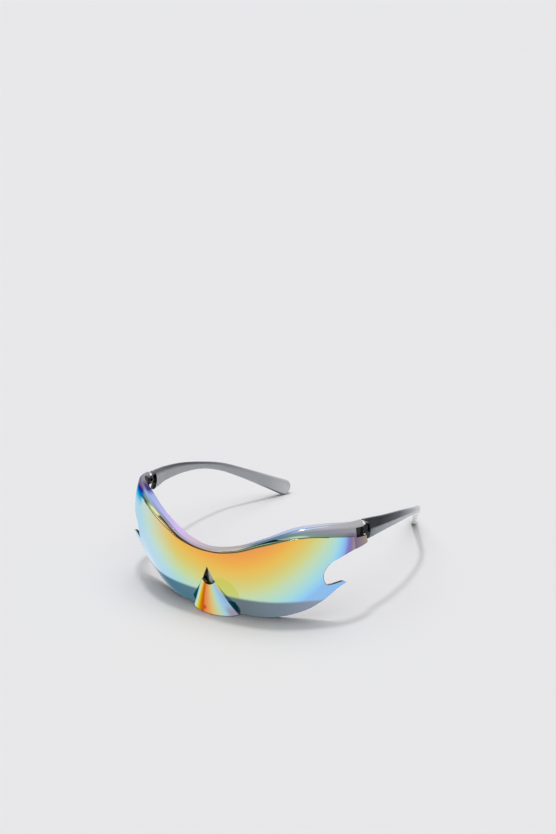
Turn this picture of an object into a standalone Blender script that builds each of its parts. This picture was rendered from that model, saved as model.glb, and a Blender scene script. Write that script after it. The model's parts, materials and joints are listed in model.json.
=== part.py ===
"""Racer sunglasses: a wrap-round mirror shield under a stepped brow bar, with two folding temples.

The origin is on the ground under the middle of the glasses, +Y runs back along the temples, -Y is
the front and +Z is up. The glasses stand as they do on a table, on the foot of the shield and on
the two temple tips. Lengths are in metres and angles in degrees.

The front is laid out flat and then bent round the face. Flat, X is the turn round the wearer's
upright axis, Y the height and Z the depth behind the outer face of the shield.
"""

import math

import bmesh
import bpy
from mathutils import Matrix, Vector

# Fits
GAP = 0.0003
BORE_CLEARANCE = 0.0003
CUT_OVERRUN = 0.004

# Whole object
FRONT_HEIGHT = 0.0555
WRAP_AXIS_Y = -0.0274
WRAP_SIZE = 0.100
WRAP_LEVEL = 0.026
WRAP_TURN = 18.0
FLAT_RADIUS = 0.0625

# Reach of the outer face from the wearer's axis, middle to side, at three levels
FOOT_REACH_SHARES = (0.450, 0.470, 0.505, 0.545, 0.610, 0.615)
MIDDLE_REACH_SHARES = (0.555, 0.575, 0.615, 0.650, 0.710, 0.700)
BROW_REACH_SHARES = (0.530, 0.560, 0.600, 0.640, 0.690, 0.680)

# Shield lens
LENS_THICKNESS = 0.0020
LENS_END_TURN = 73.6
LENS_END_FOOT_SHARE = 0.728
BLANK_TURN_STEP = 2.5
BLANK_HEIGHT_STEP = 0.0034
OUTLINE_RESOLUTION = 4
SEAM_TURN = 16.0
SEAM_HEIGHT_SHARES = (0.683, 0.728, 0.832, 0.899, 0.883, 0.816)
NOTCH_POINT_SHARES = (
    (70.5, 0.713),
    (66.0, 0.677),
    (62.2, 0.635),
    (60.0, 0.573),
    (59.4, 0.513),
    (60.0, 0.455),
    (61.5, 0.407),
    (63.4, 0.400),
    (66.0, 0.420),
    (67.9, 0.434),
)
TAIL_TIP_SHARES = (68.8, 0.423)
TAIL_FLARE = 0.0021
TAIL_FLARE_TURN = 63.0
TAIL_LEVEL_SHARE = 0.5
FOOT_POINT_SHARES = (
    (66.6, 0.370),
    (63.6, 0.276),
    (60.0, 0.190),
    (55.4, 0.110),
    (48.8, 0.054),
    (41.5, 0.016),
)
FOOT_FLAT_TURN = 34.0

# Nose: the cut-out in the shield and the hollow cone that covers its lower part
CUTOUT_HALF_WIDTH = 0.0125
CUTOUT_HEIGHT = 0.0285
CUTOUT_ROWS = 4
CONE_WALL = 0.0018
CONE_FOOT_HEIGHT = 0.0005
CONE_TOP_HEIGHT = 0.0190
CONE_REACH = 0.0082
CONE_REACH_END_HEIGHT = 0.0212
CONE_FULLNESS_SHARE = 1.12
CONE_ROWS = 9
CONE_COLUMNS = 22

# Brow bar
BAR_END_TURN = 80.6
BAR_END_LEAN = 2.0
BAR_TURN_STEP = 3.0
LEDGE_WIDTH = 0.0050
LEDGE_WIDTH_SHARES = (0.58, 1.00, 0.88, 0.82, 0.70, 0.44)
CREST_HEIGHT_SHARES = (0.710, 0.755, 0.869, 0.973, 0.995, 0.952)
REAR_HEIGHT_SHARES = (0.726, 0.757, 0.861, 0.979, 1.000, 0.957)
FACE_SET_BACK = 0.0017
FACE_SET_BACK_SHARES = (0.20, 0.45, 1.00, 0.10, 0.00, 0.00)
CHANNEL_DEPTH = 0.0009
CHANNEL_SHARES = (0.15, 0.60, 1.00, 0.65, 0.00, 0.00)
EDGE_BREAK = 0.0004
FLANGE_DROP = 0.0034
FLANGE_THICKNESS = 0.0018
END_WALL = 0.0030
END_FOOT_SHARE = 0.726

# Hinges: the pivot's place in the bar's end, and the slope and turn of the hinge frame
PIVOT_DEPTH = 0.0018
PIVOT_HEIGHT_SHARE = 0.854
HINGE_LEAN = 10.0
FRONT_LEAF_TURN = 9.0
TEMPLE_LEAF_TURN = 10.5
WINDOW_WALL = 0.00175
WINDOW_HEIGHT = 0.0051
WINDOW_BLOCK_FACE = 0.0008
BARREL_RADIUS = 0.0014
CENTRE_KNUCKLE_SHARE = 0.36
PIN_RADIUS = 0.0006
PIN_END_BREAK = 0.0002
ROUND_SIDES = 20

# Front leaf: a plate sunk in the inner face of the bar's end, held by two screws
LEAF_THICKNESS = 0.0009
FRONT_LEAF_INSET = 0.0014
FRONT_LEAF_RISE = 0.0034
FRONT_LEAF_DROP = 0.0052
SCREW_RADIUS = 0.0005
SCREW_HEAD_RADIUS = 0.0011
SCREW_HEAD_HEIGHT = 0.0004
SCREW_BITE = 0.0010
SCREW_PITCH_SHARE = 0.407
SCREW_DROP = 0.0039
SLOT_WIDTH = 0.0004

# Temple leaf: a block behind the pivot, and a blade in a slot in the temple held by two rivets
BLOCK_LENGTH = 0.0032
BLOCK_INSET = 0.0010
BLOCK_FACE = 0.0006
BLADE_INSET = 0.0018
BLADE_START = 0.0086
BLADE_LENGTH = 0.0064
BLADE_HEIGHT = 0.0044
RIVET_RADIUS = 0.0006
RIVET_FIRST_SHARE = 0.30
RIVET_PITCH_SHARE = 0.42
RIVET_STAND = 0.0008

# Temples: the run is given back from the temple's front, as shares of its length
TEMPLE_BEHIND_PIVOT = 0.0033
TEMPLE_OUT_FROM_PIVOT = 0.0032
TEMPLE_LENGTH = 0.1141
TEMPLE_HALF_HEIGHT = 0.0055
TEMPLE_HALF_THICKNESS = 0.0015
TEMPLE_RUN_SHARES = (0.008, 0.070, 0.155, 0.330, 0.505, 0.650, 0.770, 0.900, 1.000)
TEMPLE_OUT_SHARES = (0.948, 0.966, 0.988, 1.000, 0.979, 0.926, 0.837, 0.722, 0.638)
TEMPLE_HEIGHT_SHARES = (0.832, 0.816, 0.793, 0.727, 0.634, 0.522, 0.386, 0.221, 0.093)
TEMPLE_DEEP_SHARES = (1.06, 0.96, 0.79, 0.57, 0.40, 0.46, 0.56, 0.74, 0.90)
TEMPLE_THICK_SHARES = (1.00, 0.96, 0.92, 0.84, 0.80, 0.82, 0.90, 1.00, 1.00)
TEMPLE_FRONT_SLOPE_SHARE = 0.20
TEMPLE_HOLLOW_RADIUS = 0.0063
TEMPLE_HOLLOW_BACK = 0.0020
TEMPLE_HOLLOW_DROP = 0.0018
TEMPLE_FRONT_LEAN = 5.0
TEMPLE_SLOPE_RUN_SHARE = 0.22
TEMPLE_STATIONS = 34
TIP_STATIONS = 6
SECTION_CORNER_SHARE = 0.80
SECTION_ARC_POINTS = 4

# Finishes
SMOOTH_DEGREES = 30
LENS_SMOOTH_DEGREES = 24
MATERIALS = {
    "mirror_lens": ((0.78, 0.56, 0.11), 0.10, 0.85),
    "mirror_brow": ((0.54, 0.48, 0.57), 0.12, 0.85),
    "smoke_plastic": ((0.30, 0.32, 0.35), 0.10, 0.00),
    "black_metal": ((0.010, 0.010, 0.012), 0.30, 0.60),
    "steel": ((0.30, 0.30, 0.31), 0.25, 1.00),
}


def clear_scene():
    for old in list(bpy.data.objects):
        bpy.data.objects.remove(old, do_unlink=True)


def new_collection(name):
    group = bpy.data.collections.new(name)
    bpy.context.scene.collection.children.link(group)
    return group


def new_material(name):
    colour, roughness, metallic = MATERIALS[name]
    material = bpy.data.materials.new(name)
    material.use_nodes = True
    shader = material.node_tree.nodes["Principled BSDF"]
    shader.inputs["Base Color"].default_value = (*colour, 1)
    shader.inputs["Roughness"].default_value = roughness
    shader.inputs["Metallic"].default_value = metallic
    return material


def new_object(name, form, group):
    """Make an object of a bmesh and put it in a collection."""
    bmesh.ops.recalc_face_normals(form, faces=form.faces)
    mesh = bpy.data.meshes.new(name)
    form.to_mesh(mesh)
    form.free()
    piece = bpy.data.objects.new(name, mesh)
    group.objects.link(piece)
    return piece


def new_cutter(name, form):
    cutter = new_object(name, form, CUTTERS)
    cutter.hide_render = True
    cutter.display_type = "WIRE"
    return cutter


def combine(piece, other, operation):
    """Put a Boolean on a piece and keep its result as the piece's mesh."""
    modifier = piece.modifiers.new(operation.title(), "BOOLEAN")
    modifier.operation = operation
    modifier.object = other
    graph = bpy.context.evaluated_depsgraph_get()
    mesh = bpy.data.meshes.new_from_object(piece.evaluated_get(graph))
    piece.modifiers.clear()
    piece.data = mesh


def finish(piece, material, smooth_degrees):
    """Give a piece its material and shade its round faces smooth."""
    piece.data.materials.clear()
    piece.data.materials.append(material)
    piece.data.shade_smooth()
    piece.data.set_sharp_from_angle(angle=math.radians(smooth_degrees))


def mirrored(piece):
    """Copy a piece of the wearer's left side to the right side."""
    mesh = piece.data.copy()
    mesh.transform(Matrix.Scale(-1, 4, Vector((1, 0, 0))))
    mesh.flip_normals()
    copy = bpy.data.objects.new(piece.name.replace("_left", "_right"), mesh)
    GLASSES.objects.link(copy)
    return copy


def spline_at(values, place):
    """Read a smooth curve through evenly spaced values, level at its start."""
    last = len(values) - 1
    step = min(int(place), last - 1)
    part = place - step
    before = values[abs(step - 1)]
    start = values[step]
    end = values[step + 1]
    after = values[step + 2] if step + 2 <= last else 2 * end - start
    even = 2 * start + (end - before) * part
    square = (2 * before - 5 * start + 4 * end - after) * part**2
    cube = (3 * start - before - 3 * end + after) * part**3
    return (even + square + cube) / 2


def table_at(shares, size, turn, turn_step):
    return size * spline_at(shares, abs(turn) / turn_step)


def wrap_reach(turn, height):
    """Distance of the outer face from the wearer's axis: a parabola through three levels."""
    level = height / WRAP_LEVEL
    foot = table_at(FOOT_REACH_SHARES, WRAP_SIZE, turn, WRAP_TURN)
    middle = table_at(MIDDLE_REACH_SHARES, WRAP_SIZE, turn, WRAP_TURN)
    brow = table_at(BROW_REACH_SHARES, WRAP_SIZE, turn, WRAP_TURN)
    lower = foot * (1 - level) * (2 - level) / 2
    upper = brow * level * (level - 1) / 2
    return lower + middle * level * (2 - level) + upper


def flat_point(turn, height, depth):
    return Vector((math.radians(turn) * FLAT_RADIUS, height, depth))


def flat_turn(out, height):
    """Turn at which the outer face is a distance out from the middle."""
    return math.degrees(math.asin(out / wrap_reach(0, height)))


def tail_flare(turn, height):
    """Distance that the tails below the side notches stand out from the wrap."""
    past = (abs(math.degrees(turn)) - TAIL_FLARE_TURN) / (TAIL_TIP_SHARES[0] - TAIL_FLARE_TURN)
    if past <= 0 or height > TAIL_LEVEL_SHARE * FRONT_HEIGHT:
        return 0
    return TAIL_FLARE * past**2


def bend_round_face(piece):
    """Bend a piece that was laid out flat to its place round the face."""
    for vertex in piece.data.vertices:
        flat_x, height, depth = vertex.co
        turn = flat_x / FLAT_RADIUS
        reach = wrap_reach(math.degrees(turn), height) + tail_flare(turn, height) - depth
        out = reach * math.sin(turn)
        forward = reach * math.cos(turn)
        vertex.co = (out, WRAP_AXIS_Y - forward, height)
    piece.data.flip_normals()


def loft(rings):
    """Skin closed rings that have equal counts of points, with a cap at each end."""
    form = bmesh.new()
    rows = [[form.verts.new(point) for point in ring] for ring in rings]
    count = len(rings[0])
    for near, far in zip(rows, rows[1:]):
        for here in range(count):
            there = (here + 1) % count
            form.faces.new((near[here], near[there], far[there], far[here]))
    form.faces.new(rows[0])
    form.faces.new(rows[-1])
    return form


def box_form(low, high):
    form = bmesh.new()
    size = [top - bottom for bottom, top in zip(low, high)]
    centre = [(top + bottom) / 2 for bottom, top in zip(low, high)]
    place = Matrix.Translation(centre) @ Matrix.Diagonal((*size, 1))
    bmesh.ops.create_cube(form, size=1, matrix=place)
    return form


def rod_form(radius, low, high):
    """Upright rod on the pivot, in the hinge frame."""
    form = bmesh.new()
    place = Matrix.Translation((0, 0, (low + high) / 2))
    bmesh.ops.create_cone(
        form,
        cap_ends=True,
        segments=ROUND_SIDES,
        radius1=radius,
        radius2=radius,
        depth=high - low,
        matrix=place,
    )
    return form


def peg_form(radius, low, high, along, up):
    """Rod that lies across the hinge frame, from one X to another."""
    form = bmesh.new()
    place = Matrix.Translation(((low + high) / 2, along, up)) @ Matrix.Rotation(math.pi / 2, 4, "Y")
    bmesh.ops.create_cone(
        form,
        cap_ends=True,
        segments=ROUND_SIDES,
        radius1=radius,
        radius2=radius,
        depth=high - low,
        matrix=place,
    )
    return form


def seam_height(turn):
    return table_at(SEAM_HEIGHT_SHARES, FRONT_HEIGHT, turn, SEAM_TURN)


# Nose


def cutout_half_width(height):
    return CUTOUT_HALF_WIDTH * (1 - height / CUTOUT_HEIGHT)


def cone_ring(height):
    """Section of the hollow cone at one height: outer arch, then inner arch."""
    outer_width = cutout_half_width(height) + CONE_WALL / 2
    outer_reach = CONE_REACH * (1 - height / CONE_REACH_END_HEIGHT)
    ring = []
    for width, reach, order in (
        (outer_width, outer_reach, 1),
        (outer_width - CONE_WALL, outer_reach - CONE_WALL, -1),
    ):
        arch = [(width, LENS_THICKNESS)]
        for step in range(CONE_COLUMNS + 1):
            angle = math.pi * step / CONE_COLUMNS
            across = math.copysign(abs(math.cos(angle)) ** CONE_FULLNESS_SHARE, math.cos(angle))
            arch.append((width * across, -reach * math.sin(angle) ** CONE_FULLNESS_SHARE))
        arch.append((-width, LENS_THICKNESS))
        for out, depth in arch[::order]:
            ring.append(flat_point(flat_turn(out, height), height, depth))
    return ring


def make_nose_cone():
    rise = CONE_TOP_HEIGHT - CONE_FOOT_HEIGHT
    heights = [CONE_FOOT_HEIGHT + rise * row / CONE_ROWS for row in range(CONE_ROWS + 1)]
    return new_cutter("nose_cone_form", loft([cone_ring(height) for height in heights]))


# Shield lens


def lens_outline():
    """Right half of the flat outline, from the middle of the top edge round to the nose's apex."""
    points = []
    for step in range(math.ceil(LENS_END_TURN / SEAM_TURN)):
        points.append((step * SEAM_TURN, seam_height(step * SEAM_TURN), "AUTO"))
    points.append((LENS_END_TURN, seam_height(LENS_END_TURN), "VECTOR"))
    points.append((LENS_END_TURN, LENS_END_FOOT_SHARE * FRONT_HEIGHT, "VECTOR"))
    for turn, share in NOTCH_POINT_SHARES:
        points.append((turn, share * FRONT_HEIGHT, "AUTO"))
    tip_turn, tip_share = TAIL_TIP_SHARES
    points.append((tip_turn, tip_share * FRONT_HEIGHT, "VECTOR"))
    for turn, share in FOOT_POINT_SHARES:
        points.append((turn, share * FRONT_HEIGHT, "AUTO"))
    points.append((FOOT_FLAT_TURN, 0, "VECTOR"))
    for row in range(CUTOUT_ROWS):
        height = CUTOUT_HEIGHT * row / CUTOUT_ROWS
        kind = "VECTOR" if row == 0 else "AUTO"
        points.append((flat_turn(cutout_half_width(height), height), height, kind))
    points.append((0, CUTOUT_HEIGHT, "VECTOR"))
    return points


def make_lens_outline():
    """Solid slab with the lens's flat outline, thicker than the blank."""
    right = lens_outline()
    left = [(-turn, height, kind) for turn, height, kind in right[-2:0:-1]]
    outline = bpy.data.curves.new("lens_outline", "CURVE")
    outline.dimensions = "2D"
    outline.fill_mode = "BOTH"
    outline.extrude = LENS_THICKNESS
    outline.resolution_u = OUTLINE_RESOLUTION
    spline = outline.splines.new("BEZIER")
    spline.bezier_points.add(len(right) + len(left) - 1)
    spline.use_cyclic_u = True
    for point, (turn, height, kind) in zip(spline.bezier_points, right + left):
        point.co = flat_point(turn, height, 0)
        point.handle_left_type = kind
        point.handle_right_type = kind
    curve = bpy.data.objects.new("lens_outline_curve", outline)
    CUTTERS.objects.link(curve)
    graph = bpy.context.evaluated_depsgraph_get()
    mesh = bpy.data.meshes.new_from_object(curve.evaluated_get(graph))
    form = bmesh.new()
    form.from_mesh(mesh)
    bmesh.ops.remove_doubles(form, verts=form.verts, dist=GAP / 100)
    bmesh.ops.translate(form, verts=form.verts, vec=Vector((0, 0, LENS_THICKNESS / 2)))
    bpy.data.objects.remove(curve)
    return new_cutter("lens_outline_slab", form)


def make_lens():
    """A flat blank is cut to the outline, joined to the nose cone and bent round the face."""
    columns = math.ceil(2 * BAR_END_TURN / BLANK_TURN_STEP)
    rows = math.ceil(FRONT_HEIGHT / BLANK_HEIGHT_STEP)
    half_length = math.radians(columns * BLANK_TURN_STEP / 2) * FLAT_RADIUS
    half_rise = rows * BLANK_HEIGHT_STEP / 2
    form = bmesh.new()
    place = Matrix.Translation((0, half_rise - CUT_OVERRUN / 2, LENS_THICKNESS))
    place = place @ Matrix.Diagonal((half_length, half_rise, 1, 1))
    bmesh.ops.create_grid(form, x_segments=columns, y_segments=rows, size=1, matrix=place)
    skin = form.faces[:]
    grown = bmesh.ops.extrude_face_region(form, geom=skin)
    moved = [item for item in grown["geom"] if isinstance(item, bmesh.types.BMVert)]
    bmesh.ops.translate(form, verts=moved, vec=Vector((0, 0, -LENS_THICKNESS)))
    lens = new_object("shield_lens", form, GLASSES)
    combine(lens, make_lens_outline(), "INTERSECT")
    combine(lens, make_nose_cone(), "UNION")
    bend_round_face(lens)
    finish(lens, new_material("mirror_lens"), LENS_SMOOTH_DEGREES)
    return lens


# Brow bar


def bar_section(turn, is_end):
    """Section of the bar at one turn, as heights with depths behind the outer face."""
    seam = seam_height(turn)
    crest = table_at(CREST_HEIGHT_SHARES, FRONT_HEIGHT, turn, SEAM_TURN)
    rear = table_at(REAR_HEIGHT_SHARES, FRONT_HEIGHT, turn, SEAM_TURN)
    set_back = max(table_at(FACE_SET_BACK_SHARES, FACE_SET_BACK, turn, SEAM_TURN), 0)
    channel = max(table_at(CHANNEL_SHARES, CHANNEL_DEPTH, turn, SEAM_TURN), 0)
    ledge = table_at(LEDGE_WIDTH_SHARES, LEDGE_WIDTH, turn, SEAM_TURN)
    seat = seam + GAP
    foot = seam - FLANGE_DROP
    behind = LENS_THICKNESS + GAP
    if is_end:
        foot = END_FOOT_SHARE * FRONT_HEIGHT
        behind = 0
        seat = seam
    wall = END_WALL if is_end else FLANGE_THICKNESS
    back = behind + wall
    middle = (seat + crest) / 2
    return [
        (seat, set_back * 2 / 3),
        (middle, set_back + channel),
        (crest - EDGE_BREAK, set_back),
        (crest, set_back + EDGE_BREAK),
        (rear, set_back + ledge - EDGE_BREAK),
        (rear - EDGE_BREAK, set_back + ledge),
        ((seat + foot) / 2, max(back, set_back + ledge - EDGE_BREAK)),
        (foot, back),
        (foot, behind),
        (seat - (seat - foot) / 3 if is_end else seat, behind),
    ]


def bar_ring(turn, is_end):
    """The bar's ends are cut on a slope, so the ends' sections lean back towards the foot."""
    ring = []
    for height, depth in bar_section(turn, is_end):
        lean = 0
        if is_end:
            part = (abs(turn) - LENS_END_TURN) / (BAR_END_TURN - LENS_END_TURN)
            rise = (FRONT_HEIGHT - height) / (FRONT_HEIGHT * (1 - END_FOOT_SHARE))
            lean = BAR_END_LEAN * part * rise
        ring.append(flat_point(turn + math.copysign(lean, turn), height, depth))
    return ring


def make_brow_bar():
    """L-shaped bar over and behind the top of the lens, with a solid block at each end."""
    step_turn = LENS_END_TURN + math.degrees(GAP / FLAT_RADIUS)
    inner_turn = step_turn - math.degrees(GAP / FLAT_RADIUS) / 10
    count = math.ceil(inner_turn / BAR_TURN_STEP)
    half = [(inner_turn * step / count, False) for step in range(count + 1)]
    end_count = math.ceil((BAR_END_TURN - step_turn) / BAR_TURN_STEP)
    for step in range(end_count + 1):
        half.append((step_turn + (BAR_END_TURN - step_turn) * step / end_count, True))
    rings = [bar_ring(-turn, is_end) for turn, is_end in half[:0:-1]]
    rings += [bar_ring(turn, is_end) for turn, is_end in half]
    bar = new_object("brow_bar", loft(rings), GLASSES)
    bend_round_face(bar)
    for side in (1, -1):
        cut_window(bar, side)
        cut_front_seat(bar, side)
    finish(bar, new_material("mirror_brow"), SMOOTH_DEGREES)
    return bar


# Hinges


def hinge_frame(which, side=1):
    """X runs outboard, Y back along a leaf and Z up the pivot."""
    degrees = FRONT_LEAF_TURN if which == "front" else TEMPLE_LEAF_TURN
    place = Matrix.Translation((side * PIVOT_X, PIVOT_Y, PIVOT_Z))
    lean = Matrix.Rotation(math.radians(-HINGE_LEAN), 4, "X")
    turn = Matrix.Rotation(math.radians(-side * degrees), 4, "Z")
    flip = Matrix.Scale(side, 4, Vector((1, 0, 0)))
    return place @ lean @ turn @ flip


def new_pivot(name, side):
    """Empty on a temple's hinge axis, with its Z along the axis."""
    pivot = bpy.data.objects.new(name, None)
    pivot.empty_display_size = BARREL_HEIGHT
    pivot.location = (side * PIVOT_X, PIVOT_Y, PIVOT_Z)
    pivot.rotation_euler.x = math.radians(-HINGE_LEAN)
    GLASSES.objects.link(pivot)
    return pivot


def hang_on(piece, pivot):
    """Parent a moving piece to its pivot and keep it where it is."""
    piece.parent = pivot
    piece.matrix_parent_inverse = pivot.matrix_basis.inverted()


def cut_at_hinge(piece, name, form, which, side):
    form.transform(hinge_frame(which, side))
    combine(piece, new_cutter(name, form), "DIFFERENCE")


def front_plate_form(room=0.0, overrun=0.0):
    low = (
        -FRONT_LEAF_INSET - overrun,
        -END_RUN - room,
        -FRONT_LEAF_DROP - room,
    )
    high = (LEAF_THICKNESS - FRONT_LEAF_INSET + room, room - LEAF_START, FRONT_LEAF_RISE + room)
    return box_form(low, high)


def blade_form(room=0.0, overrun=0.0):
    half = BLADE_HEIGHT / 2 + room
    low = (-BLADE_INSET - room, BLADE_START - overrun, -half)
    high = (LEAF_THICKNESS - BLADE_INSET + room, BLADE_START + BLADE_LENGTH + room, half)
    return box_form(low, high)


def screw_places():
    """Places of the front leaf's two screws along and up the hinge frame."""
    pitch = SCREW_PITCH_SHARE * END_RUN
    return [(-pitch * number, -SCREW_DROP) for number in (1, 2)]


def rivet_places():
    """Places of the temple leaf's two rivets along and up the hinge frame."""
    first = BLADE_START + RIVET_FIRST_SHARE * BLADE_LENGTH
    return [(first + number * RIVET_PITCH_SHARE * BLADE_LENGTH, 0) for number in range(2)]


def cut_front_seat(bar, side):
    """Sink the front leaf's plate into the bar's end, with blind holes for its screws."""
    cut_at_hinge(bar, "front_leaf_seat", front_plate_form(GAP, CUT_OVERRUN), "front", side)
    for along, up in screw_places():
        radius = SCREW_RADIUS + BORE_CLEARANCE
        hole = peg_form(radius, -FRONT_LEAF_INSET, SCREW_END + BORE_CLEARANCE, along, up)
        cut_at_hinge(bar, "screw_seat", hole, "front", side)


def cut_temple_slot(temple):
    """Slot the temple's thickness for the blade, with rivet holes from the inner face."""
    cut_at_hinge(temple, "blade_slot", blade_form(GAP, CUT_OVERRUN), "temple", 1)
    for along, up in rivet_places():
        hole = peg_form(RIVET_RADIUS + BORE_CLEARANCE, -CUT_OVERRUN, -BLADE_INSET, along, up)
        cut_at_hinge(temple, "rivet_hole", hole, "temple", 1)


def cut_window(bar, side):
    """Slot through the end of the bar, open at the back, that the hinge sits in."""
    half = WINDOW_HEIGHT / 2
    low = (-CUT_OVERRUN, -WINDOW_LENGTH, -half)
    window = box_form(low, (CUT_OVERRUN, CUT_OVERRUN * 2, half))
    cut_at_hinge(bar, "hinge_window", window, "front", side)


def knuckle_spans(which):
    """Heights of the knuckles: two outer ones on the front leaf, one between on the temple leaf."""
    half = BARREL_HEIGHT * CENTRE_KNUCKLE_SHARE / 2
    if which == "front":
        return [(-BARREL_HEIGHT / 2, -half - GAP / 2), (half + GAP / 2, BARREL_HEIGHT / 2)]
    return [(-half + GAP / 2, half - GAP / 2)]


def add_knuckles(leaf, which, near, far, arm_end):
    """Join a leaf to its knuckles by arms between two depths, then bore them for the pin."""
    for low, high in knuckle_spans(which):
        arm = box_form((near, min(0, arm_end), low), (far, max(0, arm_end), high))
        combine(leaf, new_cutter("knuckle_arm", arm), "UNION")
        combine(leaf, new_cutter("knuckle", rod_form(BARREL_RADIUS, low, high)), "UNION")
    bore = rod_form(PIN_RADIUS + BORE_CLEARANCE, -BARREL_HEIGHT, BARREL_HEIGHT)
    combine(leaf, new_cutter("pin_bore", bore), "DIFFERENCE")


def make_front_leaf():
    """Screwed plate with a block that fills the window and two knuckles."""
    leaf = new_object("hinge_front_leaf_left", front_plate_form(), GLASSES)
    half = BARREL_HEIGHT / 2
    low = (-FRONT_LEAF_INSET + LEAF_THICKNESS / 2, GAP - WINDOW_LENGTH, -half)
    block = box_form(low, (WINDOW_BLOCK_FACE, -LEAF_START - GAP / 2, half))
    combine(leaf, new_cutter("window_block", block), "UNION")
    arm_end = -LEAF_START - LEAF_THICKNESS / 2
    add_knuckles(leaf, "front", GAP - FRONT_LEAF_INSET, WINDOW_BLOCK_FACE - GAP, arm_end)
    for along, up in screw_places():
        hole = peg_form(SCREW_RADIUS + BORE_CLEARANCE, -CUT_OVERRUN, CUT_OVERRUN, along, up)
        combine(leaf, new_cutter("screw_hole", hole), "DIFFERENCE")
    leaf.data.transform(hinge_frame("front"))
    return leaf


def make_temple_leaf():
    """Blade joined by a slim arm to the block that carries the middle knuckle."""
    leaf = new_object("hinge_temple_leaf_left", blade_form(), GLASSES)
    inner = -BLADE_INSET
    outer = LEAF_THICKNESS - BLADE_INSET
    low, high = knuckle_spans("temple")[0]
    half = BARREL_HEIGHT / 2
    block_end = LEAF_START + BLOCK_LENGTH
    arm = box_form((inner, block_end - LEAF_THICKNESS, low), (outer, BLADE_START + GAP, high))
    combine(leaf, new_cutter("blade_arm", arm), "UNION")
    block = box_form((-BLOCK_INSET, LEAF_START, -half), (BLOCK_FACE, block_end, half))
    combine(leaf, new_cutter("leaf_block", block), "UNION")
    arm_end = LEAF_START + BLOCK_LENGTH / 2
    add_knuckles(leaf, "temple", GAP - BLOCK_INSET, BLOCK_FACE / 2, arm_end)
    for along, up in rivet_places():
        hole = peg_form(RIVET_RADIUS + BORE_CLEARANCE, -CUT_OVERRUN, CUT_OVERRUN, along, up)
        combine(leaf, new_cutter("rivet_hole", hole), "DIFFERENCE")
    leaf.data.transform(hinge_frame("temple"))
    return leaf


def make_pin():
    """Pin through the three knuckles, kept in by the bar above and below it."""
    half = BARREL_HEIGHT / 2
    rings = []
    for height, radius in (
        (-half, PIN_RADIUS - PIN_END_BREAK),
        (-half + PIN_END_BREAK, PIN_RADIUS),
        (half - PIN_END_BREAK, PIN_RADIUS),
        (half, PIN_RADIUS - PIN_END_BREAK),
    ):
        ring = []
        for step in range(ROUND_SIDES):
            angle = 2 * math.pi * step / ROUND_SIDES
            ring.append(Vector((radius * math.cos(angle), radius * math.sin(angle), height)))
        rings.append(ring)
    pin = new_object("hinge_pin_left", loft(rings), GLASSES)
    pin.data.transform(hinge_frame("front"))
    return pin


def make_screw(name, along, up):
    """Slotted screw through the front leaf into the bar's end."""
    head_foot = -FRONT_LEAF_INSET - GAP
    head_top = head_foot - SCREW_HEAD_HEIGHT
    shank = peg_form(SCREW_RADIUS, (head_foot + head_top) / 2, SCREW_END, along, up)
    screw = new_object(f"front_leaf_screw_left_{name}", shank, GLASSES)
    head = peg_form(SCREW_HEAD_RADIUS, head_top, head_foot, along, up)
    combine(screw, new_cutter("screw_head", head), "UNION")
    slot_half = SLOT_WIDTH / 2
    slot_reach = SCREW_HEAD_RADIUS * 2
    slot = box_form(
        (head_top - SCREW_HEAD_HEIGHT, along - slot_half, up - slot_reach),
        ((head_foot + head_top) / 2, along + slot_half, up + slot_reach),
    )
    combine(screw, new_cutter("screw_slot", slot), "DIFFERENCE")
    screw.data.transform(hinge_frame("front"))
    return screw


def make_rivet(name, along, up):
    """Rivet through the temple's inner wall and the blade."""
    low = -BLADE_INSET - RIVET_STAND
    shank = peg_form(RIVET_RADIUS, low, LEAF_THICKNESS - BLADE_INSET, along, up)
    rivet = new_object(f"temple_leaf_rivet_left_{name}", shank, GLASSES)
    rivet.data.transform(hinge_frame("temple"))
    return rivet


# Temples


def run_at(shares, place):
    """Read a smooth curve of shares at a place between 0 and 1 of the table's own stations."""
    stations = TEMPLE_RUN_SHARES
    last = len(stations) - 1
    step = 0
    while step < last - 1 and place > stations[step + 1]:
        step += 1

    def slope(index):
        low = max(index - 1, 0)
        high = min(index + 1, last)
        return (shares[high] - shares[low]) / (stations[high] - stations[low])

    span = stations[step + 1] - stations[step]
    part = (place - stations[step]) / span
    rise = shares[step + 1] - shares[step]
    start_slope = slope(step) * span
    end_slope = slope(step + 1) * span
    bend = start_slope * (1 - part) - end_slope * part + rise * (2 * part - 1)
    return shares[step] + rise * part + bend * part * (1 - part)


def temple_centre(place):
    return Vector(
        (
            (PIVOT_X + TEMPLE_OUT_FROM_PIVOT) * run_at(TEMPLE_OUT_SHARES, place),
            PIVOT_Y + TEMPLE_BEHIND_PIVOT + TEMPLE_LENGTH * place,
            FRONT_HEIGHT * run_at(TEMPLE_HEIGHT_SHARES, place),
        )
    )


def rounded_section():
    """Rounded rectangle with half sides of 1, as across and up; corners are part of the width."""
    points = []
    corner = SECTION_CORNER_SHARE
    for quarter in range(4):
        for step in range(SECTION_ARC_POINTS):
            angle = math.pi / 2 * (quarter + step / (SECTION_ARC_POINTS - 1))
            across_sign = 1 if quarter in (0, 3) else -1
            up_sign = 1 if quarter in (0, 1) else -1
            across = across_sign * (1 - corner) + corner * math.cos(angle)
            points.append((across, up_sign, corner * math.sin(angle) - up_sign * corner))
    return points


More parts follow.
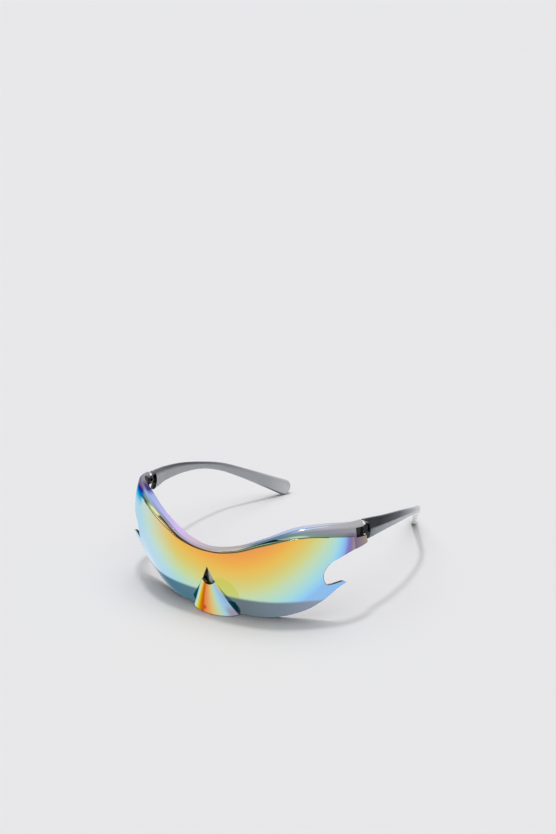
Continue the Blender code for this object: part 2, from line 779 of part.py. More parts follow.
def temple_ring(place, shrink=1.0, push=0.0):
    centre = temple_centre(place)
    near = temple_centre(max(place - 1 / TEMPLE_STATIONS / 2, TEMPLE_RUN_SHARES[0]))
    far = temple_centre(min(place + 1 / TEMPLE_STATIONS / 2, 1))
    along = (far - near).normalized()
    up = (Vector((0, 0, 1)) - along * along.z).normalized()
    across = along.cross(up)
    half = TEMPLE_HALF_HEIGHT * run_at(TEMPLE_DEEP_SHARES, place)
    thick = TEMPLE_HALF_THICKNESS * run_at(TEMPLE_THICK_SHARES, place)
    sloped = max(1 - (place - TEMPLE_RUN_SHARES[0]) / TEMPLE_SLOPE_RUN_SHARE, 0)
    up = (up - across * math.tan(math.radians(TEMPLE_FRONT_LEAN)) * sloped).normalized()
    across = along.cross(up)
    side_shrink = (1 + shrink) / 2
    ring = []
    for out, sign, corner in rounded_section():
        rise = sign * half * shrink + corner * thick * shrink
        forward = push - sloped * TEMPLE_FRONT_SLOPE_SHARE * rise
        ring.append(centre + across * out * thick * side_shrink + up * rise + along * forward)
    return ring


def make_temple():
    """Flat arm with a rounded paddle at its tip, hollowed round the hinge and slotted for its blade."""
    first = TEMPLE_RUN_SHARES[0]
    places = [first + (1 - first) * step / TEMPLE_STATIONS for step in range(TEMPLE_STATIONS + 1)]
    rings = [temple_ring(place) for place in places]
    tip = TEMPLE_HALF_HEIGHT * TEMPLE_DEEP_SHARES[-1]
    for step in range(1, TIP_STATIONS + 1):
        angle = math.pi / 2 * step / (TIP_STATIONS + 1 / 2)
        rings.append(temple_ring(1, math.cos(angle), tip * math.sin(angle)))
    temple = new_object("temple_left", loft(rings), GLASSES)
    reach = TEMPLE_HALF_THICKNESS * 4
    hollow = peg_form(
        TEMPLE_HOLLOW_RADIUS,
        -reach,
        reach,
        TEMPLE_HOLLOW_BACK,
        -TEMPLE_HOLLOW_DROP,
    )
    cut_at_hinge(temple, "temple_hollow", hollow, "temple", 1)
    cut_temple_slot(temple)
    return temple


PIVOT_Z = PIVOT_HEIGHT_SHARE * FRONT_HEIGHT
PIVOT_REACH = wrap_reach(BAR_END_TURN, PIVOT_Z) - PIVOT_DEPTH
PIVOT_X = PIVOT_REACH * math.sin(math.radians(BAR_END_TURN))
PIVOT_Y = WRAP_AXIS_Y - PIVOT_REACH * math.cos(math.radians(BAR_END_TURN))
END_RUN = PIVOT_REACH * math.radians(BAR_END_TURN - LENS_END_TURN)
WINDOW_LENGTH = END_RUN - WINDOW_WALL
BARREL_HEIGHT = WINDOW_HEIGHT - 2 * GAP
LEAF_START = BARREL_RADIUS + GAP
SCREW_END = LEAF_THICKNESS - FRONT_LEAF_INSET + SCREW_BITE

clear_scene()
GLASSES = new_collection("racer_sunglasses")
CUTTERS = new_collection("cutters")

make_lens()
make_brow_bar()

smoke = new_material("smoke_plastic")
black = new_material("black_metal")
steel = new_material("steel")
fixed_pieces = [(make_front_leaf(), black), (make_pin(), steel)]
for name, (along, up) in zip(("rear", "fore"), screw_places()):
    fixed_pieces.append((make_screw(name, along, up), steel))
moving_pieces = [(make_temple(), smoke), (make_temple_leaf(), black)]
for name, (along, up) in zip(("fore", "rear"), rivet_places()):
    moving_pieces.append((make_rivet(name, along, up), steel))
left_pivot = new_pivot("temple_left_pivot", 1)
right_pivot = new_pivot("temple_right_pivot", -1)
for piece, material in fixed_pieces + moving_pieces:
    finish(piece, material, SMOOTH_DEGREES)
    copy = mirrored(piece)
    if (piece, material) in moving_pieces:
        hang_on(piece, left_pivot)
        hang_on(copy, right_pivot)
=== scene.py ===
"""Looks for the racer sunglasses: rainbow-mirror shield and brow bar, smoke-plastic temples."""

import json
import math

import bmesh
import bpy
from mathutils import Matrix, Vector

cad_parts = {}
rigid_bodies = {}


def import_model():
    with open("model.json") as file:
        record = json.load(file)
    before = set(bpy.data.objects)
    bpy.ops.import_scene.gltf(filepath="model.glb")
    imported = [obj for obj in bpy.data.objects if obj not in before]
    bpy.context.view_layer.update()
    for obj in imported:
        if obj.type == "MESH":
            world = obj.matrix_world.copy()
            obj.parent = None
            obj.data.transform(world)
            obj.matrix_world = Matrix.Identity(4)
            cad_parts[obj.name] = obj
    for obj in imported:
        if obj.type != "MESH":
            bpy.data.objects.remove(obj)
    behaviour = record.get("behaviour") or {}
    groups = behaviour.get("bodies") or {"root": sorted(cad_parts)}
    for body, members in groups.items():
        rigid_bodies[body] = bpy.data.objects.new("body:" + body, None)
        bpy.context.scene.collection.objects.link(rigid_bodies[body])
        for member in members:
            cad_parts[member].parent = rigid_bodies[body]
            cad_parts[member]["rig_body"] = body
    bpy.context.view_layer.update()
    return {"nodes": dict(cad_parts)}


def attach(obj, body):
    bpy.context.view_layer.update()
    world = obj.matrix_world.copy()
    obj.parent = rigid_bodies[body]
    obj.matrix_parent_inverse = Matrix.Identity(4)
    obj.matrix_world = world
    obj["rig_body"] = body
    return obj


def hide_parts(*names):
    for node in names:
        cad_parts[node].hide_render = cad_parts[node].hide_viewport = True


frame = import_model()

PIECES = bpy.data.collections.new("racer_sunglasses")
bpy.context.scene.collection.children.link(PIECES)

# Shield lens
# One injection-moulded polycarbonate shield, 2 mm thick and bent round the face, with a mirror coat
# laid on its outer face in a vacuum. The coat thins from the middle outwards, which turns its colour
# from orange through green and blue to violet. The inner face and the lower rim stay bare.

MM = 0.001
FRONT_HEIGHT = 55.5 * MM
WRAP_AXIS_Y = -27.4 * MM
WRAP_SIZE = 100 * MM
WRAP_LEVEL = 26 * MM
WRAP_TURN = 18.0
FLAT_RADIUS = 62.5 * MM
REACH_SHARES = (
    (0.450, 0.470, 0.505, 0.545, 0.610, 0.615),
    (0.555, 0.575, 0.615, 0.650, 0.710, 0.700),
    (0.530, 0.560, 0.600, 0.640, 0.690, 0.680),
)
SEAM_TURN = 16.0
SEAM_HEIGHT_SHARES = (0.683, 0.728, 0.832, 0.899, 0.883, 0.816)

LENS_THICKNESS = 2.0 * MM
LENS_END_TURN = 73.6
LENS_END_FOOT_SHARE = 0.728
LENS_EDGE_ROUND = 0.3 * MM
LENS_EDGE_STEPS = 3
LENS_INSET = 0.02 * MM
LENS_TURN_STEP = 1.0
LENS_HEIGHT_STEP = 1.5 * MM
OUTLINE_RESOLUTION = 8
WELD_SHARE = 0.01
NOTCH_POINT_SHARES = (
    (70.5, 0.713), (66.0, 0.677), (62.2, 0.635), (60.0, 0.573), (59.4, 0.513),
    (60.0, 0.455), (61.5, 0.407), (63.4, 0.400), (66.0, 0.420), (67.9, 0.434),
)
TAIL_TIP_SHARES = (68.8, 0.423)
TAIL_FLARE = 2.1 * MM
TAIL_FLARE_TURN = 63.0
FOOT_POINT_SHARES = (
    (66.6, 0.370), (63.6, 0.276), (60.0, 0.190), (55.4, 0.110), (48.8, 0.054), (41.5, 0.016),
)
FOOT_FLAT_TURN = 34.0
CUTOUT_HALF_WIDTH = 12.5 * MM
CUTOUT_HEIGHT = 28.5 * MM
CUTOUT_ROWS = 4

# The shield runs on over the solids' clearance to the brow bar, so that the joint is a hairline.
SEAM_FILL = 0.2 * MM
END_FILL = 0.25 * MM

# Which faces of the rim are coated: forward and outward ones at the two ends, upward ones between.
SEAM_START_TURN = -51.0
SEAM_END_TURN = 62.0
FLAT_NORMAL = 0.99
FORWARD_NORMAL = -0.1
END_NORMAL = 0.7
TOP_NORMAL_RIGHT = 0.7
TOP_NORMAL_LEFT = 0.2

RIM_ANGLE = 60
SHARP_ANGLE = 35.0
SHADING_WEIGHT = 80


def spline_at(values, place):
    """Read a smooth curve through evenly spaced values, level at its start."""
    last = len(values) - 1
    step = min(int(place), last - 1)
    part = place - step
    before = values[abs(step - 1)]
    start = values[step]
    end = values[step + 1]
    after = values[step + 2] if step + 2 <= last else 2 * end - start
    even = 2 * start + (end - before) * part
    square = (2 * before - 5 * start + 4 * end - after) * part**2
    cube = (3 * start - before - 3 * end + after) * part**3
    return (even + square + cube) / 2


def table_at(shares, size, turn, turn_step):
    return size * spline_at(shares, abs(turn) / turn_step)


def wrap_reach(turn, height):
    """Distance of the outer face from the wearer's upright axis, from rows at three heights."""
    level = height / WRAP_LEVEL
    foot, middle, brow = (table_at(row, WRAP_SIZE, turn, WRAP_TURN) for row in REACH_SHARES)
    lower = foot * (1 - level) * (2 - level) / 2
    upper = brow * level * (level - 1) / 2
    return lower + middle * level * (2 - level) + upper


def seam_height(turn):
    return table_at(SEAM_HEIGHT_SHARES, FRONT_HEIGHT, turn, SEAM_TURN)


def flat_point(turn, height, depth):
    return Vector((math.radians(turn) * FLAT_RADIUS, height, depth))


def flat_turn(out, height):
    return math.degrees(math.asin(out / wrap_reach(0, height)))


def tail_flare(turn, height):
    """The tails below the side notches stand a little out from the wrap."""
    past = (abs(turn) - TAIL_FLARE_TURN) / (TAIL_TIP_SHARES[0] - TAIL_FLARE_TURN)
    if past <= 0 or height > FRONT_HEIGHT / 2:
        return 0
    return TAIL_FLARE * past**2


def bend_round_face(form):
    """Bend a form that is laid out flat to its place round the face."""
    for vertex in form.verts:
        flat_x, height, depth = vertex.co
        turn = flat_x / FLAT_RADIUS
        degrees = math.degrees(turn)
        reach = wrap_reach(degrees, height) + tail_flare(degrees, height) - depth
        out = reach * math.sin(turn)
        vertex.co = (out, WRAP_AXIS_Y - reach * math.cos(turn), height)
    bmesh.ops.reverse_faces(form, faces=form.faces)


def new_piece(name, form, materials, group=PIECES):
    """Make an object of a bmesh and shade it smooth."""
    mesh = bpy.data.meshes.new(name)
    form.to_mesh(mesh)
    form.free()
    mesh.shade_smooth()
    for material in materials:
        mesh.materials.append(material)
    piece = bpy.data.objects.new(name, mesh)
    group.objects.link(piece)
    return piece


def even_shading(piece):
    """Shade smooth up to an angle, with the large faces leading the small rounded ones."""
    piece.data.shade_smooth()
    piece.data.set_sharp_from_angle(angle=math.radians(SHARP_ANGLE))
    weighted = piece.modifiers.new("Even shading", "WEIGHTED_NORMAL")
    weighted.keep_sharp = True
    weighted.weight = SHADING_WEIGHT


def hex_colour(code):
    """Turn an sRGB hex value to linear with full alpha."""
    channels = [int(code[place : place + 2], 16) / 255 for place in (0, 2, 4)]
    linear = [c / 12.92 if c <= 0.04045 else ((c + 0.055) / 1.055) ** 2.4 for c in channels]
    return (*linear, 1)


def node(tree, kind, settings=(), **sockets):
    """Add a node with its operation or settings; sockets take values, colours, outputs or nodes."""
    made = tree.nodes.new(f"ShaderNode{kind}")
    if isinstance(settings, str):
        settings = {"operation": settings}
    for name, value in dict(settings).items():
        setattr(made, name, value)
    for name, value in sockets.items():
        socket = made.inputs[int(name[1:]) if name[1:].isdigit() else name.replace("_", " ")]
        if isinstance(value, str):
            value = hex_colour(value)
        if isinstance(value, bpy.types.Node):
            value = next(output for output in value.outputs if output.enabled)
        if isinstance(value, bpy.types.NodeSocket):
            tree.links.new(value, socket)
        else:
            socket.default_value = value
    return made


def empty_tree(owner):
    """Give a material, world or lamp a node tree with nothing in it."""
    owner.use_nodes = True
    owner.node_tree.nodes.clear()
    return owner.node_tree


def new_material(name):
    material = bpy.data.materials.new(name)
    return material, empty_tree(material)


def set_ramp(ramp_node, stops, span=1):
    """Give a colour ramp its stops, with places from 0 to the span, and hand it back."""
    ramp = ramp_node.color_ramp
    while len(ramp.elements) < len(stops):
        ramp.elements.new(0.5)
    for element, (place, code) in zip(ramp.elements, stops):
        element.position = place / span
        element.color = hex_colour(code)
    return ramp_node


# Rainbow mirror coat: metal oxides laid in a vacuum on polished polycarbonate. It mirrors sharply,
# and its colour follows how thin it is, from orange under the brow to violet at the sides, with a blue
# flare high on the wearer's right. Painted over it: a slate band low down that is a painted reflection
# of the table's shadow, dark green corners beside the nose that are painted shade reflected from the
# cone's side, and a round sheen beside the nose that is a painted reflection of the cone.
COAT_THICK_TURN = 12.0
COAT_THICK_HEIGHT = 42 * MM
COAT_FALL_SHARES = (0.181, 0.222, 0.66)
COAT_END_TURN = 60.0
COAT_SPAN = 80
EDGE_TINT_GAMMA = 0.5
TAIL_THINNESS = 54 * MM
TAIL_TOP_HEIGHT = 28 * MM
TAIL_SOFT_HEIGHT = 8 * MM
COAT_STOPS = (
    (0, "F09858"), (7, "F1AE50"), (13, "EBC15C"), (19, "DECC74"), (25, "D2D892"), (31, "C4DDB8"),
    (38, "B4DED3"), (44, "A5DAE6"), (50, "95CEF5"), (57, "8EB2EA"), (63, "7D83CC"), (70, "8C74A6"),
    (78, "9B8D92"),
)
PALE_SIDE = "CCE3F1"
PALE_START_TURN = -17.0
PALE_FULL_TURN = -46.0
PALE_FOOT_HEIGHT = 18 * MM
PALE_TOP_HEIGHT = 40 * MM
PALE_TOP_SHARE = 0.5
BLUE_START_TURN = -51.0
BLUE_FULL_TURN = -58.0
BLUE_FOOT_HEIGHT = 44 * MM
BLUE_SPAN = 12
BLUE_STOPS = (
    (0.0, "BEDDEC"), (2.5, "A4D4EC"), (4.5, "6CC0E2"), (6.3, "2C9CD0"), (7.6, "2C72C0"),
    (9.0, "5448A0"), (10.3, "7A688E"), (11.6, "94889A"),
)
# Slate band: a painted reflection of the table's shadow in front of the shield, laid below a set height.
BAND_TOP_HEIGHT = 12.4 * MM
BAND_SOFT_HEIGHT = 1.2 * MM
SHADOW_REFLECTION_STOPS = (
    (30, "9DB2C2"), (42, "8296A8"), (53, "6E8B9C"), (70, "668595"), (110, "6C7A81"),
    (130, "768591"), (147, "8C96A8"), (160, "9AA3BA"),
)
FACE_SPAN = 180
# Painted shade: the dark reflection of the cone's shaded side in the corners beside it.
CORNER_REFLECTED_SHADE = "1C5A5C"
CORNER_REACH = 13.9 * MM
CORNER_LEFT_HEIGHT = 9.4 * MM
CORNER_RIGHT_REACH = 18.0 * MM
CORNER_RIGHT_SLOPE = 0.7
CORNER_CHANGE = 1 * MM
CORNER_SOFT = 0.5 * MM
# Round sheen: a painted reflection of the nose cone in the shield beside it.
CONE_REFLECTION_COLOUR = "C4CA38"
SHEEN_PLACE = Vector((8.2 * MM, 0, 15.0 * MM))
SHEEN_RADIUS = 9.0 * MM
SHEEN_SOFT = 0.5 * MM
SHEEN_SHARE = 0.5
SMOOTH = {"interpolation_type": "SMOOTHSTEP"}


def object_axes(tree):
    """X, Y and Z of a point in the glasses' frame."""
    return node(tree, "SeparateXYZ", _0=node(tree, "TexCoord").outputs["Object"])


def face_place(tree):
    """Axes of a point, its turn round the wearer, and that turn as a share of the half circle."""
    axes = object_axes(tree)
    forward = node(tree, "Math", "SUBTRACT", _0=WRAP_AXIS_Y, _1=axes.outputs["Y"])
    turn = node(tree, "Math", {"operation": "ARCTAN2"}, _0=axes.outputs["X"], _1=forward)
    half = math.radians(FACE_SPAN / 2)
    return axes, turn, node(tree, "MapRange", Value=turn, _1=-half, _2=half)


def lay_over(tree, colour, *layers):
    """Lay further colours over one, each by its own part."""
    for part, layer in layers:
        colour = node(tree, "Mix", {"data_type": "RGBA"}, _0=part, _6=colour, _7=layer)
    return colour


def mirror(tree, colour, roughness):
    """Mirror in a colour that pales where it is seen edge-on."""
    tint = node(tree, "Gamma", Color=colour, Gamma=EDGE_TINT_GAMMA)
    shader = node(
        tree, "BsdfPrincipled", Base_Color=colour, Specular_Tint=tint, Metallic=1.0, Roughness=roughness
    )
    node(tree, "OutputMaterial", Surface=shader)


def blue_flare(tree, axes, turn):
    """Colour of the flare at the wearer's right end, and how much of it shows."""
    top_height = BLUE_FOOT_HEIGHT + BLUE_SPAN * MM
    rise = node(tree, "MapRange", Value=axes.outputs["Z"], _1=BLUE_FOOT_HEIGHT, _2=top_height)
    colour = set_ramp(node(tree, "ValToRGB", Fac=rise), BLUE_STOPS, BLUE_SPAN)
    full, start = math.radians(BLUE_FULL_TURN), math.radians(BLUE_START_TURN)
    part = node(tree, "MapRange", SMOOTH, Value=turn, _1=full, _2=start, _3=1.0, _4=0.0)
    return colour, part


coat, tree = new_material("Rainbow mirror coat on polycarbonate")
axes, turn, face_share = face_place(tree)
past = node(tree, "Math", "SUBTRACT", _0=turn, _1=math.radians(COAT_THICK_TURN))
past_right = node(tree, "Math", "MINIMUM", _0=past, _1=0.0)
past_left = node(tree, "Math", "MAXIMUM", _0=past, _1=0.0)
past_end = node(tree, "Math", "SUBTRACT", _0=turn, _1=math.radians(COAT_END_TURN))
end_only = node(tree, "Math", "MAXIMUM", _0=past_end, _1=0.0)
turns = node(tree, "CombineXYZ", X=past_right, Y=past_left, Z=end_only)
weighed = node(tree, "VectorMath", "MULTIPLY", _0=turns, _1=COAT_FALL_SHARES)
fall = node(tree, "VectorMath", "DOT_PRODUCT", _0=weighed, _1=weighed)
below = node(tree, "Math", "SUBTRACT", _0=COAT_THICK_HEIGHT, _1=axes.outputs["Z"])
thinness = node(tree, "Math", "ADD", _0=below, _1=fall)
thinnest = node(
    tree, "MapRange", Value=axes.outputs["Z"], _1=TAIL_TOP_HEIGHT, _2=TAIL_TOP_HEIGHT + TAIL_SOFT_HEIGHT,
    _3=TAIL_THINNESS, _4=COAT_SPAN * MM,
)
held = node(tree, "Math", "MINIMUM", _0=thinness, _1=thinnest)
thin_share = node(tree, "Math", "DIVIDE", _0=held, _1=COAT_SPAN * MM)
rainbow = set_ramp(node(tree, "ValToRGB", Fac=thin_share), COAT_STOPS, COAT_SPAN)

pale_side = node(
    tree, "MapRange", SMOOTH, Value=turn, _1=math.radians(PALE_FULL_TURN), _2=math.radians(PALE_START_TURN),
    _3=1.0, _4=0.0,
)
pale_rise = node(
    tree, "MapRange", Value=axes.outputs["Z"], _1=PALE_FOOT_HEIGHT, _2=PALE_TOP_HEIGHT, _3=1.0,
    _4=PALE_TOP_SHARE,
)
pale_part = node(tree, "Math", "MULTIPLY", _0=pale_side, _1=pale_rise)
blue, blue_part = blue_flare(tree, axes, turn)

# Painted reflection of the cone: a round yellow patch beside the nose.
place = node(tree, "TexCoord")
upright = node(tree, "VectorMath", "MULTIPLY", _0=place.outputs["Object"], _1=(1, 0, 1))
sheen_reach = node(tree, "VectorMath", "DISTANCE", _0=upright, _1=SHEEN_PLACE)
cone_reflection_part = node(
    tree, "MapRange", Value=sheen_reach, _1=SHEEN_RADIUS - SHEEN_SOFT, _2=SHEEN_RADIUS, _3=SHEEN_SHARE,
    _4=0.0,
)
# Painted reflection of the table's shadow: the slate band low on the shield.
band = set_ramp(node(tree, "ValToRGB", Fac=face_share), SHADOW_REFLECTION_STOPS, FACE_SPAN)
shadow_reflection_part = node(
    tree, "MapRange", SMOOTH, Value=axes.outputs["Z"], _1=BAND_TOP_HEIGHT - BAND_SOFT_HEIGHT,
    _2=BAND_TOP_HEIGHT + BAND_SOFT_HEIGHT, _3=1.0, _4=0.0,
)

# Painted shade in the corners beside the cone, standing for the dark reflection of its shaded side.
left_height = node(
    tree, "MapRange", Value=axes.outputs["X"], _1=-CORNER_CHANGE, _2=CORNER_CHANGE, _3=FRONT_HEIGHT,
    _4=CORNER_LEFT_HEIGHT,
)
right_height = node(
    tree, "Math", "MULTIPLY_ADD", _0=axes.outputs["X"], _1=1 / CORNER_RIGHT_SLOPE,
    _2=CORNER_RIGHT_REACH / CORNER_RIGHT_SLOPE,
)
corner_height = node(tree, "Math", "MINIMUM", _0=left_height, _1=right_height)
under = node(tree, "Math", "SUBTRACT", _0=corner_height, _1=axes.outputs["Z"])
out = node(tree, "Math", "ABSOLUTE", _0=axes.outputs["X"])
within = node(tree, "Math", "SUBTRACT", _0=CORNER_REACH, _1=out)
nearest = node(tree, "Math", "MINIMUM", _0=under, _1=within)
corner_shade_part = node(tree, "MapRange", SMOOTH, Value=nearest, _1=0.0, _2=CORNER_SOFT)

coat_and_painted_light = lay_over(
    tree, rainbow, (pale_part, PALE_SIDE), (blue_part, blue),
    (cone_reflection_part, CONE_REFLECTION_COLOUR), (shadow_reflection_part, band), (corner_shade_part, CORNER_REFLECTED_SHADE),
)
mirror(tree, coat_and_painted_light, 0.06)

# Smoke polycarbonate: the bare moulding behind the coat, polished by the mould. Seen from inside it
# is a dark clear grey that shines, a little uneven where the melt flowed. On the cut faces of the hinge
# windows and temple hollows the same dark material is painted shade.
SMOKE_FLOW = 12 * MM
SMOKE_STOPS = ((0.0, "26282D"), (1.0, "31343B"))
POLYCARBONATE_IOR = 1.58


def uneven_material(name, scale, stops, detail=2.0, **sockets):
    """Material whose tone wanders between two shades over a real distance."""
    material, tree = new_material(name)
    noise = node(tree, "TexNoise", Scale=1 / scale, Detail=detail)
    tone = set_ramp(node(tree, "ValToRGB", Fac=noise), stops)
    shader = node(tree, "BsdfPrincipled", Base_Color=tone, **sockets)
    node(tree, "OutputMaterial", Surface=shader)
    return material


smoke_lens_and_cut_shade = uneven_material(
    "Smoke polycarbonate, polished by the mould", SMOKE_FLOW, SMOKE_STOPS, Roughness=0.08,
    IOR=POLYCARBONATE_IOR, Specular_IOR_Level=0.35,
)

# The coat also settles on the shield's top edge, thickest there, and the eye sees a dull yellow
# line that turns olive towards the ends.
RIM_STOPS = (
    (42, "4A5A48"), (49, "E8F0BC"), (54, "F2E8A8"), (60, "ECD498"), (66, "B8945A"), (72, "746C3E"),
    (90, "7E603C"), (104, "86733A"), (124, "7A8A60"), (146, "6C8070"), (158, "74849A"),
)

rim_coat, tree = new_material("Mirror coat settled on the shield's top edge")
axes, turn, face_share = face_place(tree)
rim_colour = set_ramp(node(tree, "ValToRGB", Fac=face_share), RIM_STOPS, FACE_SPAN)
rim_shader = node(tree, "BsdfPrincipled", Base_Color=rim_colour, Metallic=1.0, Roughness=0.15)
node(tree, "OutputMaterial", Surface=rim_shader)


def cutout_half_width(height):
    return CUTOUT_HALF_WIDTH * (1 - height / CUTOUT_HEIGHT)


def lens_outline():
    """Right half of the flat outline, from the middle of the top edge round to the nose's apex."""
    points = []
    for step in range(math.ceil(LENS_END_TURN / SEAM_TURN)):
        points.append((step * SEAM_TURN, seam_height(step * SEAM_TURN) + SEAM_FILL, "AUTO"))
    end_turn = LENS_END_TURN + math.degrees(END_FILL / FLAT_RADIUS)
    points.append((end_turn, seam_height(LENS_END_TURN) + SEAM_FILL, "VECTOR"))
    points.append((end_turn, LENS_END_FOOT_SHARE * FRONT_HEIGHT, "VECTOR"))
    for turn, share in NOTCH_POINT_SHARES:
        points.append((turn, share * FRONT_HEIGHT, "AUTO"))
    tip_turn, tip_share = TAIL_TIP_SHARES
    points.append((tip_turn, tip_share * FRONT_HEIGHT, "VECTOR"))
    for turn, share in FOOT_POINT_SHARES:
        points.append((turn, share * FRONT_HEIGHT, "AUTO"))
    points.append((FOOT_FLAT_TURN, 0, "VECTOR"))
    for row in range(CUTOUT_ROWS):
        height = CUTOUT_HEIGHT * row / CUTOUT_ROWS
        kind = "VECTOR" if row == 0 else "AUTO"
        points.append((flat_turn(cutout_half_width(height), height), height, kind))
    points.append((0, CUTOUT_HEIGHT, "VECTOR"))
    return points


def flat_outline():
    """Bezier outline of the whole shield, laid flat, filled and given the shield's thickness."""
    right = lens_outline()
    left = [(-turn, height, kind) for turn, height, kind in right[-2:0:-1]]
    outline = bpy.data.curves.new("lens_outline", "CURVE")
    outline.dimensions = "2D"
    outline.fill_mode = "BOTH"
    outline.extrude = LENS_THICKNESS / 2
    outline.resolution_u = OUTLINE_RESOLUTION
    spline = outline.splines.new("BEZIER")
    spline.bezier_points.add(len(right) + len(left) - 1)
    spline.use_cyclic_u = True
    for point, (turn, height, kind) in zip(spline.bezier_points, right + left):
        point.co = flat_point(turn, height, 0)
        point.handle_left_type = kind
        point.handle_right_type = kind
    curve = bpy.data.objects.new("lens_outline", outline)
    PIECES.objects.link(curve)
    return curve


def lens_slab():
    """Flat slab of the outline with a rounded rim; its front is coated, the rest is bare."""
    curve = flat_outline()
    graph = bpy.context.evaluated_depsgraph_get()
    form = bmesh.new()
    form.from_mesh(bpy.data.meshes.new_from_object(curve.evaluated_get(graph)))
    bpy.data.objects.remove(curve)
    bmesh.ops.remove_doubles(form, verts=form.verts, dist=LENS_EDGE_ROUND * WELD_SHARE)
    bmesh.ops.recalc_face_normals(form, faces=form.faces)
    for facing in (-1, 1):
        flat = [face for face in form.faces if face.normal.z * facing > FLAT_NORMAL]
        bmesh.ops.dissolve_faces(form, faces=flat)
    bmesh.ops.translate(form, verts=form.verts, vec=(0, 0, LENS_THICKNESS / 2 + LENS_INSET))
    end = flat_point(LENS_END_TURN, 0, 0).x
    rim = []
    for edge in form.edges:
        first, second = (vertex.co for vertex in edge.verts)
        is_sharp = edge.calc_face_angle(0) > math.radians(RIM_ANGLE)
        is_level = abs(first.z - second.z) < LENS_EDGE_ROUND
        if is_sharp and is_level and min(abs(first.x), abs(second.x)) < end:
            rim.append(edge)
    bmesh.ops.bevel(
        form, geom=rim, offset=LENS_EDGE_ROUND, segments=LENS_EDGE_STEPS, profile=0.5, affect="EDGES"
    )
    for face in form.faces:
        face.material_index = 0 if face.normal.z < -FLAT_NORMAL else 1
    return form


def cut_to_cells(form):
    """Cut the flat shield along turns and heights, so that it can bend."""
    count = int(LENS_END_TURN / LENS_TURN_STEP)
    planes = []
    for step in range(-count, count + 1):
        planes.append((flat_point(step * LENS_TURN_STEP, 0, 0), Vector((1, 0, 0))))
    for step in range(1, int(FRONT_HEIGHT / LENS_HEIGHT_STEP)):
        planes.append((Vector((0, step * LENS_HEIGHT_STEP, 0)), Vector((0, 1, 0))))
    for point, normal in planes:
        geometry = form.verts[:] + form.edges[:] + form.faces[:]
        bmesh.ops.bisect_plane(form, geom=geometry, plane_co=point, plane_no=normal)


shield_form = lens_slab()
cut_to_cells(shield_form)
for face in shield_form.faces:
    at_turn = math.degrees(face.calc_center_median().x / FLAT_RADIUS)
    at_end = at_turn < SEAM_START_TURN or at_turn > SEAM_END_TURN
    faces_end = face.normal.x * at_turn > END_NORMAL * LENS_END_TURN
    top_normal = TOP_NORMAL_RIGHT if at_turn < 0 else TOP_NORMAL_LEFT
    if at_end and (face.normal.z < FORWARD_NORMAL or faces_end):
        face.material_index = 0
    if not at_end and face.normal.y > top_normal:
        face.material_index = 2
bend_round_face(shield_form)
shield = new_piece("mirror_shield", shield_form, (coat, smoke_lens_and_cut_shade, rim_coat))
even_shading(shield)
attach(shield, "front")
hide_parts("shield_lens")

# Nose cone
# A small hollow cone moulded in one with the shield over the lower part of its nose cut-out. The
# coat is thickest on the side that faced the vapour, and the eye sees its colours as upright strips.

CONE_WALL = 1.8 * MM
CONE_FOOT_HEIGHT = 0.5 * MM
CONE_TOP_HEIGHT = 18.3 * MM
CONE_TOP_RISE = 2.8 * MM
CONE_REACH = 8.2 * MM
CONE_REACH_END_HEIGHT = 21.2 * MM
CONE_FULLNESS = 1.12
CONE_ROWS = 30
CONE_COLUMNS = 60
CONE_EDGE_ROUND = 0.15 * MM
RIM_COAT_REACH = 0.2

# Strips are placed in degrees along the cone's arch, from 0 on the wearer's left.
ARCH_SPAN = 180
STRIP_STOPS = (
    (0, "A9D0BE"), (18, "9CB4DC"), (32, "98BEE6"), (48, "A4D0E0"), (62, "BED8BA"), (76, "DAC680"),
    (92, "E6A25C"), (104, "E68A50"), (112, "C0580E"), (121, "D39414"), (130, "E2C850"),
    (138, "D4E4B4"), (150, "B2D8E4"), (180, "8FB6C0"),
)
VIOLET = "98929F"
VIOLET_SHARE = 0.9
VIOLET_FULL_HEIGHT = 2.0 * MM
VIOLET_END_HEIGHT = 8.0 * MM
VIOLET_FULL_ARCH = 34
VIOLET_END_ARCH = 52
FLANK_TOP = "DCCB74"
FLANK_START = 0.24
FLANK_FULL = 0.42
FLANK_START_HEIGHT = 12.0 * MM
FLANK_FULL_HEIGHT = 20.0 * MM


def section_place(tree):
    """Two marks that give a point's place round the section of its piece."""
    return node(tree, "SeparateXYZ", _0=node(tree, "UVMap", {"uv_map": "section"}))


cone_coat, tree = new_material("Rainbow mirror coat across the nose cone")
arch = section_place(tree)
strips = set_ramp(node(tree, "ValToRGB", Fac=arch.outputs["X"]), STRIP_STOPS, ARCH_SPAN)
axes = object_axes(tree)
low_part = node(
    tree, "MapRange", SMOOTH, Value=axes.outputs["Z"], _1=VIOLET_FULL_HEIGHT, _2=VIOLET_END_HEIGHT, _3=1.0,
    _4=0.0,
)
side_part = node(
    tree, "MapRange", SMOOTH, Value=arch.outputs["X"], _1=VIOLET_FULL_ARCH / ARCH_SPAN,
    _2=VIOLET_END_ARCH / ARCH_SPAN, _3=VIOLET_SHARE, _4=0.0,
)
violet_part = node(tree, "Math", "MULTIPLY", _0=low_part, _1=side_part)
from_middle = node(tree, "Math", "SUBTRACT", _0=arch.outputs["X"], _1=0.5)
flank = node(tree, "Math", "ABSOLUTE", _0=from_middle)
flank_part = node(tree, "MapRange", SMOOTH, Value=flank, _1=FLANK_START, _2=FLANK_FULL)
high_part = node(
    tree, "MapRange", SMOOTH, Value=axes.outputs["Z"], _1=FLANK_START_HEIGHT, _2=FLANK_FULL_HEIGHT
)
top_part = node(tree, "Math", "MULTIPLY", _0=flank_part, _1=high_part)
cone_colour = lay_over(tree, strips, (violet_part, VIOLET), (top_part, FLANK_TOP))
mirror(tree, cone_colour, 0.08)


